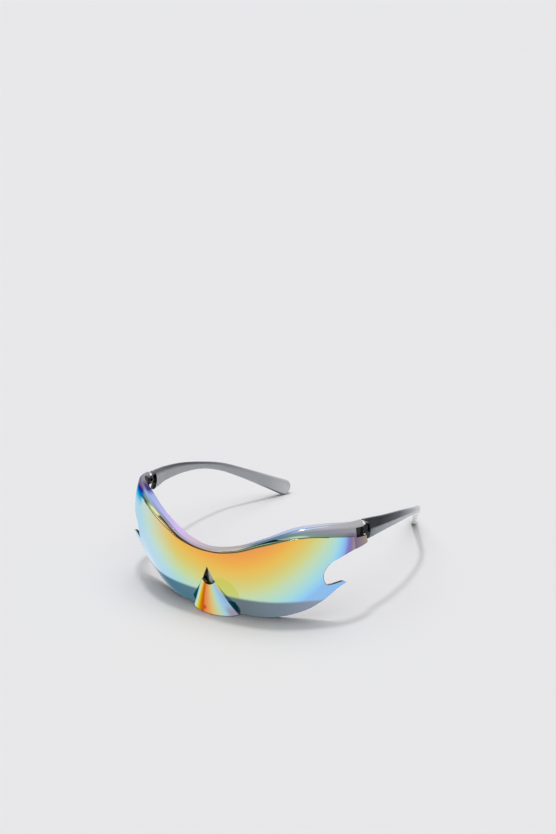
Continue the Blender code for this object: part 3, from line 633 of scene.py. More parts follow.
def loft(rings, marks, coated=(), bare=1):
    """Skin closed rings of equal counts, with caps, and keep each point's mark as a UV.

    Sides in coated take material 0, and the others and the caps take material bare.
    """
    form = bmesh.new()
    section = form.loops.layers.uv.new("section")
    rows = [[form.verts.new(point) for point in ring] for ring in rings]
    count = len(marks)
    for near, far in zip(rows, rows[1:]):
        for here in range(count):
            there = (here + 1) % count
            face = form.faces.new((near[here], near[there], far[there], far[here]))
            for corner, mark in zip(face.loops, (here, there, there, here)):
                corner[section].uv = marks[mark]
            face.material_index = 0 if here in coated else bare
    for row in (rows[0], rows[-1]):
        form.faces.new(row).material_index = bare
    bmesh.ops.recalc_face_normals(form, faces=form.faces)
    return form


def round_edges(piece, width, segments, degrees):
    """Round the edges that turn by more than an angle."""
    rounding = piece.modifiers.new("Rounded edges", "BEVEL")
    rounding.width = width
    rounding.segments = segments
    rounding.limit_method = "ANGLE"
    rounding.angle_limit = math.radians(degrees)


def cone_point(angle, height, inset=0, stand=0):
    """Flat place on the cone, at an angle of its arch that is 0 on the wearer's left."""
    half_width = cutout_half_width(height) + CONE_WALL / 2 - inset
    reach = CONE_REACH * (1 - height / CONE_REACH_END_HEIGHT) - inset
    out = half_width * math.copysign(abs(math.cos(angle)) ** CONE_FULLNESS, math.cos(angle))
    depth = min(-reach * math.sin(angle) ** CONE_FULLNESS, LENS_THICKNESS / 2)
    return flat_point(flat_turn(out, height), height, depth - stand)


def cone_arch(part, inset):
    """One arch of the cone from the wearer's left to the right; its rim is lowest in the middle."""
    points = []
    for step in range(CONE_COLUMNS + 1):
        angle = math.pi * step / CONE_COLUMNS
        top = CONE_TOP_HEIGHT + CONE_TOP_RISE * math.cos(angle) ** 2
        height = CONE_FOOT_HEIGHT + (top - CONE_FOOT_HEIGHT) * part
        points.append(cone_point(angle, height, inset))
    return points


def close_rims(form, marks):
    """Close the wall at the cone's foot and top, coated round the crown and bare at the flanks."""
    caps = [face for face in form.faces if len(face.verts) > 4]
    bmesh.ops.delete(form, geom=caps, context="FACES_ONLY")
    form.verts.ensure_lookup_table()
    section = form.loops.layers.uv["section"]
    for row in (form.verts[: len(marks)], form.verts[-len(marks) :]):
        for step in range(CONE_COLUMNS):
            face = form.faces.new((row[step], row[step + 1], row[-2 - step], row[-1 - step]))
            from_crown = abs((step + 0.5) / CONE_COLUMNS - 0.5)
            face.material_index = 0 if from_crown < RIM_COAT_REACH else 1
            for corner, mark in zip(face.loops, (step, step + 1, step + 1, step)):
                corner[section].uv = marks[mark]
    bmesh.ops.recalc_face_normals(form, faces=form.faces)


cone_rings = []
for row in range(CONE_ROWS + 1):
    part = row / CONE_ROWS
    cone_rings.append(cone_arch(part, 0) + cone_arch(part, CONE_WALL)[::-1])
cone_marks = [(step / CONE_COLUMNS, 0) for step in range(CONE_COLUMNS + 1)]
cone_marks += cone_marks[::-1]
cone_form = loft(cone_rings, cone_marks, range(CONE_COLUMNS))
close_rims(cone_form, cone_marks)
bend_round_face(cone_form)
cone = new_piece("nose_cone", cone_form, (cone_coat, smoke_lens_and_cut_shade))
round_edges(cone, CONE_EDGE_ROUND, segments=3, degrees=50)
even_shading(cone)
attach(cone, "front")

# Gate mark: where the moulding was cut from its runner, low on the cone. The coat lies rougher on
# it, and the eye sees a small ring of darker orange.
GATE_HEIGHT = 4.0 * MM
GATE_ARCH = 107
GATE_RADIUS = 1.4 * MM
GATE_STAND = 0.12 * MM
GATE_PROFILE_SHARES = ((0.45, 0.3), (0.6, 1.0), (0.85, 1.0), (1.0, 0.0), (1.0, -2.0))
GATE_SIDES = 32
GATE_GRAIN = 0.3 * MM
GATE_STOPS = ((0.35, "B8400E"), (0.65, "DC5A1E"))

gate_finish = uneven_material(
    "Rainbow mirror coat on the gate mark", GATE_GRAIN, GATE_STOPS, Metallic=1.0, Roughness=0.2
)

gate_rings = []
for radius_share, stand_share in GATE_PROFILE_SHARES:
    radius = GATE_RADIUS * radius_share
    ring = []
    for side in range(GATE_SIDES):
        angle = 2 * math.pi * side / GATE_SIDES
        height = GATE_HEIGHT + radius * math.sin(angle)
        half_width = cutout_half_width(height) + CONE_WALL / 2
        arch_angle = math.radians(GATE_ARCH) - radius * math.cos(angle) / half_width
        ring.append(cone_point(arch_angle, height, stand=GATE_STAND * stand_share))
    gate_rings.append(ring)
gate_form = loft(gate_rings, [(0, 0)] * GATE_SIDES, bare=0)
bend_round_face(gate_form)
bmesh.ops.recalc_face_normals(gate_form, faces=gate_form.faces)
gate = new_piece("nose_cone_gate_mark", gate_form, (gate_finish,))
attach(gate, "front")

# Nose web: a thin wall of bare smoke plastic that closes the top of the cut-out, behind the face. Its
# colours are painted light and shade: painted shade in black on one side, and a painted reflection of
# the sky in pale blue-grey on the other.
WEB_DEPTH = 1.3 * MM
WEB_THICKNESS = 0.5 * MM
WEB_FOOT_HEIGHT = 17.2 * MM
WEB_TOP_HEIGHT = CUTOUT_HEIGHT - 0.4 * MM
WEB_ROWS = 8
WEB_SHADE_AND_SKY_STOPS = ((0.0, "050608"), (0.38, "06090A"), (0.45, "3C7A42"), (0.52, "B4BEC8"), (1.0, "C4D0EA"))

painted_web_finish, tree = new_material("Smoke polycarbonate web, polished by the mould")
across = section_place(tree)
# The ramp paints shade in black across one side and a reflection of the sky in pale blue-grey across the
# other.
web_shade_and_sky = set_ramp(node(tree, "ValToRGB", Fac=across.outputs["X"]), WEB_SHADE_AND_SKY_STOPS)
web_shader = node(
    tree, "BsdfPrincipled", Base_Color=web_shade_and_sky, Roughness=0.3, IOR=POLYCARBONATE_IOR,
    Specular_IOR_Level=0.2,
)
node(tree, "OutputMaterial", Surface=web_shader)

web_marks = ((0, 0), (1, 0), (1, 1), (0, 1))
web_rings = []
for row in range(WEB_ROWS + 1):
    height = WEB_FOOT_HEIGHT + (WEB_TOP_HEIGHT - WEB_FOOT_HEIGHT) * row / WEB_ROWS
    edge = flat_turn(cutout_half_width(height), height)
    ring = []
    for out, behind in web_marks:
        ring.append(flat_point(edge * (2 * out - 1), height, WEB_DEPTH + WEB_THICKNESS * behind))
    web_rings.append(ring)
web_form = loft(web_rings, web_marks, bare=0)
bend_round_face(web_form)
web = new_piece("nose_web", web_form, (painted_web_finish,))
even_shading(web)
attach(web, "front")

# Brow bar
# A solid moulding over and behind the top of the shield, coated like it on its face and ledge. Its
# face has a shallow channel, and each end is a block with a window for the hinge.

LEDGE_WIDTH = 5.0 * MM
LEDGE_WIDTH_SHARES = (0.58, 1.00, 0.88, 0.82, 0.70, 0.44)
CREST_HEIGHT_SHARES = (0.710, 0.755, 0.869, 0.973, 0.995, 0.952)
REAR_HEIGHT_SHARES = (0.726, 0.757, 0.861, 0.979, 1.000, 0.957)
FACE_SET_BACK = 1.7 * MM
FACE_SET_BACK_SHARES = (0.20, 0.45, 1.00, 0.10, 0.00, 0.00)
CHANNEL_DEPTH = 0.9 * MM
CHANNEL_SHARES = (0.15, 0.60, 1.00, 0.65, 0.00, 0.00)
EDGE_BREAK = 0.4 * MM
CORNER_ROUND = EDGE_BREAK * 1.6
LONGEST_CORNER_SHARE = 0.45
FLANGE_DROP = 3.4 * MM
FLANGE_THICKNESS = 1.8 * MM
END_WALL = 3.0 * MM
END_FOOT_SHARE = 0.726
END_FORWARD_NORMAL = -0.3
BAR_END_TURN = 80.6
BAR_END_LEAN = 2.0
BAR_STEP = 0.8
GAP = 0.3 * MM
END_STEP_RUN = GAP / 10
ARC_STEPS = 4
CHANNEL_STEPS = 6

PIVOT_DEPTH = 1.8 * MM
PIVOT_Z = 0.854 * FRONT_HEIGHT
PIVOT_REACH = wrap_reach(BAR_END_TURN, PIVOT_Z) - PIVOT_DEPTH
PIVOT_X = PIVOT_REACH * math.sin(math.radians(BAR_END_TURN))
PIVOT_Y = WRAP_AXIS_Y - PIVOT_REACH * math.cos(math.radians(BAR_END_TURN))
HINGE_LEAN = 10.0
FRONT_LEAF_TURN = 9.0
END_RUN = PIVOT_REACH * math.radians(BAR_END_TURN - LENS_END_TURN)
WINDOW_LENGTH = END_RUN - 1.75 * MM
WINDOW_HEIGHT = 5.1 * MM
LEAF_START = 1.7 * MM
LEAF_THICKNESS = 0.9 * MM
FRONT_LEAF_INSET = 1.4 * MM
FRONT_LEAF_RISE = 3.4 * MM
FRONT_LEAF_DROP = 5.2 * MM
CUT_OVERRUN = 4 * MM

# Brow coat: the same vacuum coat, thinner on the upturned ledge. The eye sees lavender and pale blue
# on the ledge, olive in the channel, and a blue and purple flare at the wearer's right end.
FACE_FOOT_STOPS = (
    (42, "5A6A58"), (48, "E6F0BC"), (56, "F6E6AC"), (64, "ECD09A"), (70, "A88C62"), (78, "9C8C78"),
    (90, "B09474"), (102, "DCC49A"), (114, "D2D7AB"), (124, "D8E4C0"), (132, "A0B294"),
    (146, "7C9684"), (158, "7C8A80"), (163, "74688A"), (167, "8E7C8C"), (172, "A8988E"),
)
FACE_MIDDLE_STOPS = (
    (42, "8CA4A8"), (50, "B4C0A8"), (58, "A8A49A"), (66, "8C8E90"), (76, "948AA0"), (90, "B4ACAA"),
    (103, "E0D2B8"), (109, "D8D0B4"), (115, "B4BAAA"), (124, "4A7078"), (140, "809694"),
    (154, "9490A2"), (170, "9A9C9C"),
)
FACE_CREST_STOPS = (
    (42, "9AB4DC"), (62, "9292A6"), (78, "BAB0C8"), (92, "B0AEB6"), (108, "CCC8B8"),
    (117, "6E8690"), (130, "6A84A4"), (140, "94A8C4"), (150, "B4B4BC"), (170, "B2B2B2"),
)
LEDGE_STOPS = (
    (14, "A8A6AA"), (24, "A096A4"), (30, "6E5E84"), (36, "48468D"), (42, "A6B6EA"), (54, "BCB8EE"),
    (68, "D6BEF6"), (80, "D4BED2"), (94, "BEB6B8"), (108, "BCB4B6"), (118, "A8B2CA"),
    (134, "BCC8E8"), (148, "CED2E2"), (166, "BEBEC0"),
)
MIDDLE_RISE = (0.12, 0.45)
CREST_RISE = (0.55, 0.85)
LEDGE_RISE = (1.0, 1.3)
FACE_END_RISE = (1.0, 1.25)

brow_coat, tree = new_material("Pale mirror coat on the brow moulding")
axes, turn, face_share = face_place(tree)
rise = section_place(tree)
brow_colour = set_ramp(node(tree, "ValToRGB", Fac=face_share), FACE_FOOT_STOPS, FACE_SPAN)
for stops, (start, full) in (
    (FACE_MIDDLE_STOPS, MIDDLE_RISE), (FACE_CREST_STOPS, CREST_RISE), (LEDGE_STOPS, LEDGE_RISE),
):
    ramp = set_ramp(node(tree, "ValToRGB", Fac=face_share), stops, FACE_SPAN)
    part = node(tree, "MapRange", SMOOTH, Value=rise.outputs["X"], _1=start, _2=full)
    brow_colour = lay_over(tree, brow_colour, (part, ramp))
flare, flare_turn = blue_flare(tree, axes, turn)
on_face = node(
    tree, "MapRange", SMOOTH, Value=rise.outputs["X"], _1=FACE_END_RISE[0], _2=FACE_END_RISE[1], _3=1.0,
    _4=0.0,
)
flare_part = node(tree, "Math", "MULTIPLY", _0=flare_turn, _1=on_face)
with_flare = lay_over(tree, brow_colour, (flare_part, flare))
mirror(tree, with_flare, 0.09)

# Bare smoke polycarbonate at the back of the brow: light grey, and light passes through its edges.
BROW_FLOW = 9 * MM
BARE_BROW_STOPS = ((0.3, "7E8188"), (0.7, "96999E"))

bare_brow = uneven_material(
    "Clear smoke polycarbonate behind the brow coat", BROW_FLOW, BARE_BROW_STOPS, Roughness=0.08,
    IOR=POLYCARBONATE_IOR, Transmission_Weight=0.4,
)


def rounded(corners, radius):
    """Round the corners of a closed section given as height, depth and a share of the radius."""
    points = []
    count = len(corners)
    for here in range(count):
        corner = Vector(corners[here][:2])
        before = Vector(corners[here - 1][:2]) - corner
        after = Vector(corners[(here + 1) % count][:2]) - corner
        longest = min(before.length * LONGEST_CORNER_SHARE, after.length * LONGEST_CORNER_SHARE)
        run = min(radius * corners[here][2], longest)
        start = corner + before.normalized() * run
        end = corner + after.normalized() * run
        for step in range(ARC_STEPS + 1):
            part = step / ARC_STEPS
            points.append(start * (1 - part) ** 2 + corner * 2 * part * (1 - part) + end * part**2)
    return points


def bar_section(turn, is_end):
    """Section of the bar at one turn, as heights with depths behind the outer face."""
    seam = seam_height(turn)
    crest = table_at(CREST_HEIGHT_SHARES, FRONT_HEIGHT, turn, SEAM_TURN)
    rear = table_at(REAR_HEIGHT_SHARES, FRONT_HEIGHT, turn, SEAM_TURN)
    set_back = max(table_at(FACE_SET_BACK_SHARES, FACE_SET_BACK, turn, SEAM_TURN), 0)
    channel = max(table_at(CHANNEL_SHARES, CHANNEL_DEPTH, turn, SEAM_TURN), 0)
    ledge = table_at(LEDGE_WIDTH_SHARES, LEDGE_WIDTH, turn, SEAM_TURN)
    seat = seam + GAP
    foot = seam - FLANGE_DROP
    behind = LENS_THICKNESS + GAP
    if is_end:
        foot = END_FOOT_SHARE * FRONT_HEIGHT
        behind = 0
        seat = seam
    back = behind + (END_WALL if is_end else FLANGE_THICKNESS)
    corners = [
        (crest, set_back, 1.0),
        (rear, set_back + ledge, 1.0),
        ((seat + foot) / 2, max(back, set_back + ledge - EDGE_BREAK), 1.0),
        (foot, back, 1.0),
        (foot, behind, 0.6),
        (seat - (seat - foot) / 3 if is_end else seat, behind, 0.2),
        (seat, set_back * 2 / 3, 0.5),
    ]
    points = rounded(corners, CORNER_ROUND)
    low = (seat, set_back * 2 / 3)
    high = (crest, set_back)
    for step in range(1, CHANNEL_STEPS):
        part = step / CHANNEL_STEPS
        hollow = (channel + set_back / 6) * 4 * part * (1 - part)
        height = low[0] + (high[0] - low[0]) * part
        depth = low[1] + (high[1] - low[1]) * part + hollow
        points.append(Vector((height, depth)))
    return points


def bar_ring(turn, is_end):
    """The bar's ends are cut on a slope, so the ends' sections lean back towards the foot."""
    ring = []
    for height, depth in bar_section(turn, is_end):
        lean = 0
        if is_end:
            part = (abs(turn) - LENS_END_TURN) / (BAR_END_TURN - LENS_END_TURN)
            risen = (FRONT_HEIGHT - height) / (FRONT_HEIGHT * (1 - END_FOOT_SHARE))
            lean = BAR_END_LEAN * part * risen
        ring.append(flat_point(turn + math.copysign(lean, turn), height, depth))
    return ring


def box_form(low, high):
    form = bmesh.new()
    size = [top - bottom for bottom, top in zip(low, high)]
    centre = [(top + bottom) / 2 for bottom, top in zip(low, high)]
    where = Matrix.Translation(centre) @ Matrix.Diagonal((*size, 1))
    bmesh.ops.create_cube(form, size=1, matrix=where)
    return form


def hinge_frame(leaf_turn, side):
    """X runs outboard, Y back along a leaf and Z up the pivot."""
    where = Matrix.Translation((side * PIVOT_X, PIVOT_Y, PIVOT_Z))
    lean = Matrix.Rotation(math.radians(-HINGE_LEAN), 4, "X")
    swing = Matrix.Rotation(math.radians(-side * leaf_turn), 4, "Z")
    flip = Matrix.Scale(side, 4, Vector((1, 0, 0)))
    return where @ lean @ swing @ flip


def cut_at_hinge(piece, form, leaf_turn, side, materials):
    """Cut a piece with a form given in a leaf's frame; the cut faces take the last material, as painted
    shade.
    """
    form.transform(hinge_frame(leaf_turn, side))
    for face in form.faces:
        face.material_index = len(materials) - 1
    bmesh.ops.recalc_face_normals(form, faces=form.faces)
    cutter = new_piece("hinge_cut", form, materials)
    cut = piece.modifiers.new("Cut", "BOOLEAN")
    cut.operation = "DIFFERENCE"
    cut.object = cutter
    graph = bpy.context.evaluated_depsgraph_get()
    mesh = bpy.data.meshes.new_from_object(piece.evaluated_get(graph))
    piece.modifiers.clear()
    piece.data = mesh
    bpy.data.objects.remove(cutter)


step_turn = LENS_END_TURN + math.degrees(GAP / FLAT_RADIUS)
inner_turn = step_turn - math.degrees(END_STEP_RUN / FLAT_RADIUS)
end_turns = BAR_END_TURN - step_turn
inner_count = math.ceil(inner_turn / BAR_STEP)
end_count = math.ceil(end_turns / BAR_STEP)
half = [(inner_turn * step / inner_count, False) for step in range(inner_count + 1)]
half += [(step_turn + end_turns * step / end_count, True) for step in range(end_count + 1)]
bar_rings = [bar_ring(-turn, is_end) for turn, is_end in half[:0:-1]]
bar_rings += [bar_ring(turn, is_end) for turn, is_end in half]

# A mark's first number is 0 at the face's foot, 1 at its crest and 2 at the ledge's rear.
arc = ARC_STEPS + 1
bar_marks = [(1, 0)] * arc + [(2, 0)] * arc + [(2, 1)] * (2 * arc)
bar_marks += [(0, 1)] * arc + [(0, 0)] * (2 * arc)
bar_marks += [(step / CHANNEL_STEPS, 0) for step in range(1, CHANNEL_STEPS)]
ledge_sides = range(2 * arc - 2)
face_sides = range(6 * arc + 2, len(bar_marks))
bar_form = loft(bar_rings, bar_marks, (*ledge_sides, *face_sides))
step_x = flat_point(step_turn, 0, 0).x
for face in bar_form.faces:
    if abs(face.calc_center_median().x) > step_x and face.normal.z < END_FORWARD_NORMAL:
        face.material_index = 0
bend_round_face(bar_form)
bmesh.ops.recalc_face_normals(bar_form, faces=bar_form.faces)
# The cut faces of the hinge window and seat take the dark smoke material as painted shade.
bar_finish_with_window_shade = (brow_coat, bare_brow, smoke_lens_and_cut_shade)
bar = new_piece("brow_moulding", bar_form, bar_finish_with_window_shade)
window_low = (-CUT_OVERRUN, -WINDOW_LENGTH, -WINDOW_HEIGHT / 2)
window_high = (CUT_OVERRUN, CUT_OVERRUN * 2, WINDOW_HEIGHT / 2)
seat_low = (-FRONT_LEAF_INSET - CUT_OVERRUN, -END_RUN - GAP, -FRONT_LEAF_DROP - GAP)
seat_out = LEAF_THICKNESS - FRONT_LEAF_INSET + GAP
seat_high = (seat_out, GAP - LEAF_START, FRONT_LEAF_RISE + GAP)
for side in (1, -1):
    for low, high in ((window_low, window_high), (seat_low, seat_high)):
        cut_at_hinge(bar, box_form(low, high), FRONT_LEAF_TURN, side, bar_finish_with_window_shade)
even_shading(bar)
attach(bar, "front")
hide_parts("brow_bar")

# Temples
# Each arm is one clear grey polycarbonate moulding, 3 mm thick and 11 mm deep at the front, that
# thins to the middle and ends in a rounded paddle. Its front is hollowed round the hinge.

TEMPLE_BEHIND_PIVOT = 3.3 * MM
TEMPLE_OUT_FROM_PIVOT = 3.2 * MM
TEMPLE_LENGTH = 114.1 * MM
TEMPLE_HALF_HEIGHT = 5.5 * MM
TEMPLE_HALF_THICKNESS = 1.5 * MM
TEMPLE_RUN_SHARES = (0.008, 0.070, 0.155, 0.330, 0.505, 0.650, 0.770, 0.900, 1.000)
TEMPLE_OUT_SHARES = (0.948, 0.966, 0.988, 1.000, 0.979, 0.926, 0.837, 0.722, 0.638)
TEMPLE_HEIGHT_SHARES = (0.832, 0.816, 0.793, 0.727, 0.634, 0.522, 0.386, 0.221, 0.093)
TEMPLE_DEEP_SHARES = (1.06, 0.96, 0.79, 0.57, 0.40, 0.46, 0.56, 0.74, 0.90)
TEMPLE_THICK_SHARES = (1.00, 0.96, 0.92, 0.84, 0.80, 0.82, 0.90, 1.00, 1.00)
TEMPLE_FRONT_SLOPE = 0.20
TEMPLE_FRONT_LEAN = 5.0
TEMPLE_SLOPE_RUN_SHARE = 0.22
TEMPLE_LEAF_TURN = 10.5
TEMPLE_HOLLOW_RADIUS = 6.3 * MM
TEMPLE_HOLLOW_BACK = 2.0 * MM
TEMPLE_HOLLOW_DROP = 1.8 * MM
TEMPLE_HOLLOW_SIDES = 96
TEMPLE_HOLLOW_REACH = TEMPLE_HALF_THICKNESS * 4
TEMPLE_STATIONS = 90
TANGENT_STEP = 1 / 68
TIP_STATIONS = 12
TIP_INSET = 0.02 * MM
SECTION_CORNER_SHARE = 0.80
SECTION_ARC_POINTS = 8
BLADE_INSET = 1.8 * MM
BLADE_START = 8.6 * MM
BLADE_LENGTH = 6.4 * MM
BLADE_HEIGHT = 4.4 * MM

# The clear grey moulding carries painted light and shade over its own grey: painted dark reflections
# along its top edge and, outside, round the hinge, and towards the tip a painted see-through, as pale
# as the table behind it, with a painted contact shadow as a dark line where it meets the table.
INNER_TOP_STOPS = ((0.0, "4A4C56"), (0.35, "31343E"), (0.55, "666870"), (0.72, "9A9CA4"), (1.0, "C8CACD"))
INNER_FOOT_STOPS = ((0.0, "B4B7BE"), (0.4, "BCBEC4"), (0.7, "B4B7BC"), (0.9, "B8BBBF"), (1.0, "DADDE0"))
OUTER_TOP_STOPS = (
    (0.0, "0C1118"), (0.18, "10141D"), (0.3, "444A56"), (0.42, "9094A0"), (0.55, "C6C8CE"),
    (0.75, "DADBE0"), (1.0, "DCDDE2"),
)
OUTER_FOOT_STOPS = (
    (0.0, "5A656E"), (0.08, "A4AAB1"), (0.2, "B2B7BE"), (0.3, "C4C8D0"), (0.6, "DADBE0"), (1.0, "DEDFE3"),
)
INNER_TOP_RISE = (0.62, 1.0)
OUTER_TOP_RISE = (0.38, 0.52)
OUTSIDE_SHARES = (0.4, 0.8)
# Painted contact shadow: a dark line along the low edge near the tip, where the arm meets the table.
TIP_CONTACT_SHADOW = "2A2C30"
TIP_CONTACT_SHADOW_RISE = (0.04, 0.14)
TIP_CONTACT_SHADOW_RUN = (0.82, 0.97)

smoke_temple, tree = new_material("Clear grey polycarbonate, injection moulded")
axes = object_axes(tree)
temple_start = PIVOT_Y + TEMPLE_BEHIND_PIVOT
run_share = node(
    tree, "MapRange", Value=axes.outputs["Y"], _1=temple_start, _2=temple_start + TEMPLE_LENGTH
)
sides = section_place(tree)
# Each side's tone is its grey with painted reflections and shade: darker along the top, paler towards the
# tip.
painted_side_tones = []
for foot_stops, top_stops, (start, full) in (
    (INNER_FOOT_STOPS, INNER_TOP_STOPS, INNER_TOP_RISE),
    (OUTER_FOOT_STOPS, OUTER_TOP_STOPS, OUTER_TOP_RISE),
):
    foot = set_ramp(node(tree, "ValToRGB", Fac=run_share), foot_stops)
    top = set_ramp(node(tree, "ValToRGB", Fac=run_share), top_stops)
    part = node(tree, "MapRange", SMOOTH, Value=sides.outputs["Y"], _1=start, _2=full)
    painted_side_tones.append(lay_over(tree, foot, (part, top)))
outside = node(
    tree, "MapRange", SMOOTH, Value=sides.outputs["X"], _1=OUTSIDE_SHARES[0], _2=OUTSIDE_SHARES[1]
)
tint = lay_over(tree, painted_side_tones[0], (outside, painted_side_tones[1]))
# Painted contact shadow low on the arm near its tip.
low_edge = node(
    tree, "MapRange", SMOOTH, Value=sides.outputs["Y"], _1=TIP_CONTACT_SHADOW_RISE[0], _2=TIP_CONTACT_SHADOW_RISE[1], _3=1.0,
    _4=0.0,
)
near_tip = node(tree, "MapRange", SMOOTH, Value=run_share, _1=TIP_CONTACT_SHADOW_RUN[0], _2=TIP_CONTACT_SHADOW_RUN[1])
contact_shadow_part = node(tree, "Math", "MULTIPLY", _0=low_edge, _1=near_tip)
temple_painted_light = lay_over(tree, tint, (contact_shadow_part, TIP_CONTACT_SHADOW))
temple_shader = node(
    tree, "BsdfPrincipled", Base_Color=temple_painted_light, Roughness=0.07, IOR=POLYCARBONATE_IOR,
    Specular_IOR_Level=0.12, Transmission_Weight=0.1,
)
node(tree, "OutputMaterial", Surface=temple_shader)


def run_at(shares, place):
    """Read a smooth curve of shares at a place between 0 and 1 of the table's own stations."""
    stations = TEMPLE_RUN_SHARES
    last = len(stations) - 1
    step = 0
    while step < last - 1 and place > stations[step + 1]:
        step += 1

    def slope(index):
        low = max(index - 1, 0)
        high = min(index + 1, last)
        return (shares[high] - shares[low]) / (stations[high] - stations[low])

    span = stations[step + 1] - stations[step]
    part = (place - stations[step]) / span
    change = shares[step + 1] - shares[step]
    start_slope = slope(step) * span
    end_slope = slope(step + 1) * span
    bend = start_slope * (1 - part) - end_slope * part + change * (2 * part - 1)
    return shares[step] + change * part + bend * part * (1 - part)


def temple_centre(place):
    out = (PIVOT_X + TEMPLE_OUT_FROM_PIVOT) * run_at(TEMPLE_OUT_SHARES, place)
    height = FRONT_HEIGHT * run_at(TEMPLE_HEIGHT_SHARES, place)
    return Vector((out, PIVOT_Y + TEMPLE_BEHIND_PIVOT + TEMPLE_LENGTH * place, height))


def rounded_section():
    """Rounded rectangle with half sides of 1, as across and up; corners are part of the width."""
    points = []
    corner = SECTION_CORNER_SHARE
    for quarter in range(4):
        for step in range(SECTION_ARC_POINTS):
            angle = math.pi / 2 * (quarter + step / (SECTION_ARC_POINTS - 1))
            across_sign = 1 if quarter in (0, 3) else -1
            up_sign = 1 if quarter in (0, 1) else -1
            across = across_sign * (1 - corner) + corner * math.cos(angle)
            points.append((across, up_sign, corner * math.sin(angle) - up_sign * corner))
    return points


def temple_ring(place, shrink=1.0, push=0.0):
    """One section of the arm, which leans and slopes near the hinge and shrinks round the tip."""
    centre = temple_centre(place)
    near = temple_centre(max(place - TANGENT_STEP, TEMPLE_RUN_SHARES[0]))
    far = temple_centre(min(place + TANGENT_STEP, 1))
    along = (far - near).normalized()
    up = (Vector((0, 0, 1)) - along * along.z).normalized()
    across = along.cross(up)
    half_height = TEMPLE_HALF_HEIGHT * run_at(TEMPLE_DEEP_SHARES, place)
    thick = TEMPLE_HALF_THICKNESS * run_at(TEMPLE_THICK_SHARES, place)
    sloped = max(1 - (place - TEMPLE_RUN_SHARES[0]) / TEMPLE_SLOPE_RUN_SHARE, 0)
    up = (up - across * math.tan(math.radians(TEMPLE_FRONT_LEAN)) * sloped).normalized()
    across = along.cross(up)
    side_shrink = (1 + shrink) / 2
    ring = []
    for out, sign, corner in rounded_section():
        risen = sign * half_height * shrink + corner * thick * shrink
        forward = push - sloped * TEMPLE_FRONT_SLOPE * risen
        ring.append(centre + across * out * thick * side_shrink + up * risen + along * forward)
    return ring


def hollow_form():
    """Rod that lies across the temple leaf's frame and rounds out the arm's front."""
    form = bmesh.new()
    where = Matrix.Translation((0, TEMPLE_HOLLOW_BACK, -TEMPLE_HOLLOW_DROP))
    bmesh.ops.create_cone(
        form, cap_ends=True, segments=TEMPLE_HOLLOW_SIDES, radius1=TEMPLE_HOLLOW_RADIUS,
        radius2=TEMPLE_HOLLOW_RADIUS, depth=2 * TEMPLE_HOLLOW_REACH,
        matrix=where @ Matrix.Rotation(math.pi / 2, 4, "Y"),
    )
    return form


first = TEMPLE_RUN_SHARES[0]
stations = [first + (1 - first) * step / TEMPLE_STATIONS for step in range(TEMPLE_STATIONS + 1)]
temple_rings = [temple_ring(station) for station in stations]
tip = TEMPLE_HALF_HEIGHT * TEMPLE_DEEP_SHARES[-1]
for step in range(1, TIP_STATIONS + 1):
    angle = math.pi / 2 * step / (TIP_STATIONS + 1 / 2)
    temple_rings.append(temple_ring(1, math.cos(angle), (tip - TIP_INSET) * math.sin(angle)))

temple_marks = []
corner_share = TEMPLE_HALF_THICKNESS / TEMPLE_HALF_HEIGHT
for out, sign, corner in rounded_section():
    temple_marks.append(((out + 1) / 2, (sign + corner * corner_share + 1) / 2))

blade_half = BLADE_HEIGHT / 2 + GAP
slot_low = (-BLADE_INSET - GAP, BLADE_START - CUT_OVERRUN, -blade_half)
slot_high = (LEAF_THICKNESS - BLADE_INSET + GAP, BLADE_START + BLADE_LENGTH + GAP, blade_half)
# The cut faces of the hollow and slot take the dark smoke material as painted shade.
temple_finish_with_hollow_shade = (smoke_temple, smoke_lens_and_cut_shade)
for side, name in ((1, "left"), (-1, "right")):
    rings = [[Vector((side * x, y, z)) for x, y, z in ring] for ring in temple_rings]
    form = loft(rings, temple_marks, bare=0)
    arm = new_piece(f"temple_arm_{name}", form, temple_finish_with_hollow_shade)
    cut_at_hinge(arm, hollow_form(), TEMPLE_LEAF_TURN, side, temple_finish_with_hollow_shade)
    cut_at_hinge(arm, box_form(slot_low, slot_high), TEMPLE_LEAF_TURN, side, temple_finish_with_hollow_shade)
    even_shading(arm)
    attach(arm, f"temple_{name}")
    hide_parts(f"temple_{name}")

# Hinges
# Stamped and turned steel parts. The leaves and pins are blackened, and the screws and rivets are
# left bright. Their sharp edges are broken by tumbling.

TUMBLED_EDGE = 0.1 * MM
FLAT_ANGLE = 1.0

# Black oxide soaks up nearly all light, and its fine grain leaves only a soft shine.
BLACK_GRAIN = 1.5 * MM
BLACK_STOPS = ((0.3, "040506"), (0.75, "0C0D10"))

black_steel = uneven_material(
    "Black oxide on steel, tumbled", BLACK_GRAIN, BLACK_STOPS, detail=3.0, Roughness=0.3,
    Specular_IOR_Level=0.12,
)

# Turned steel keeps fine rings from the tool, which blur its shine a little.
TOOL_GRAIN = 0.4 * MM
STEEL_STOPS = ((0.3, "8C8D90"), (0.7, "A8A9AC"))

bright_steel = uneven_material(
    "Bright steel, turned", TOOL_GRAIN, STEEL_STOPS, Metallic=1.0, Roughness=0.25
)

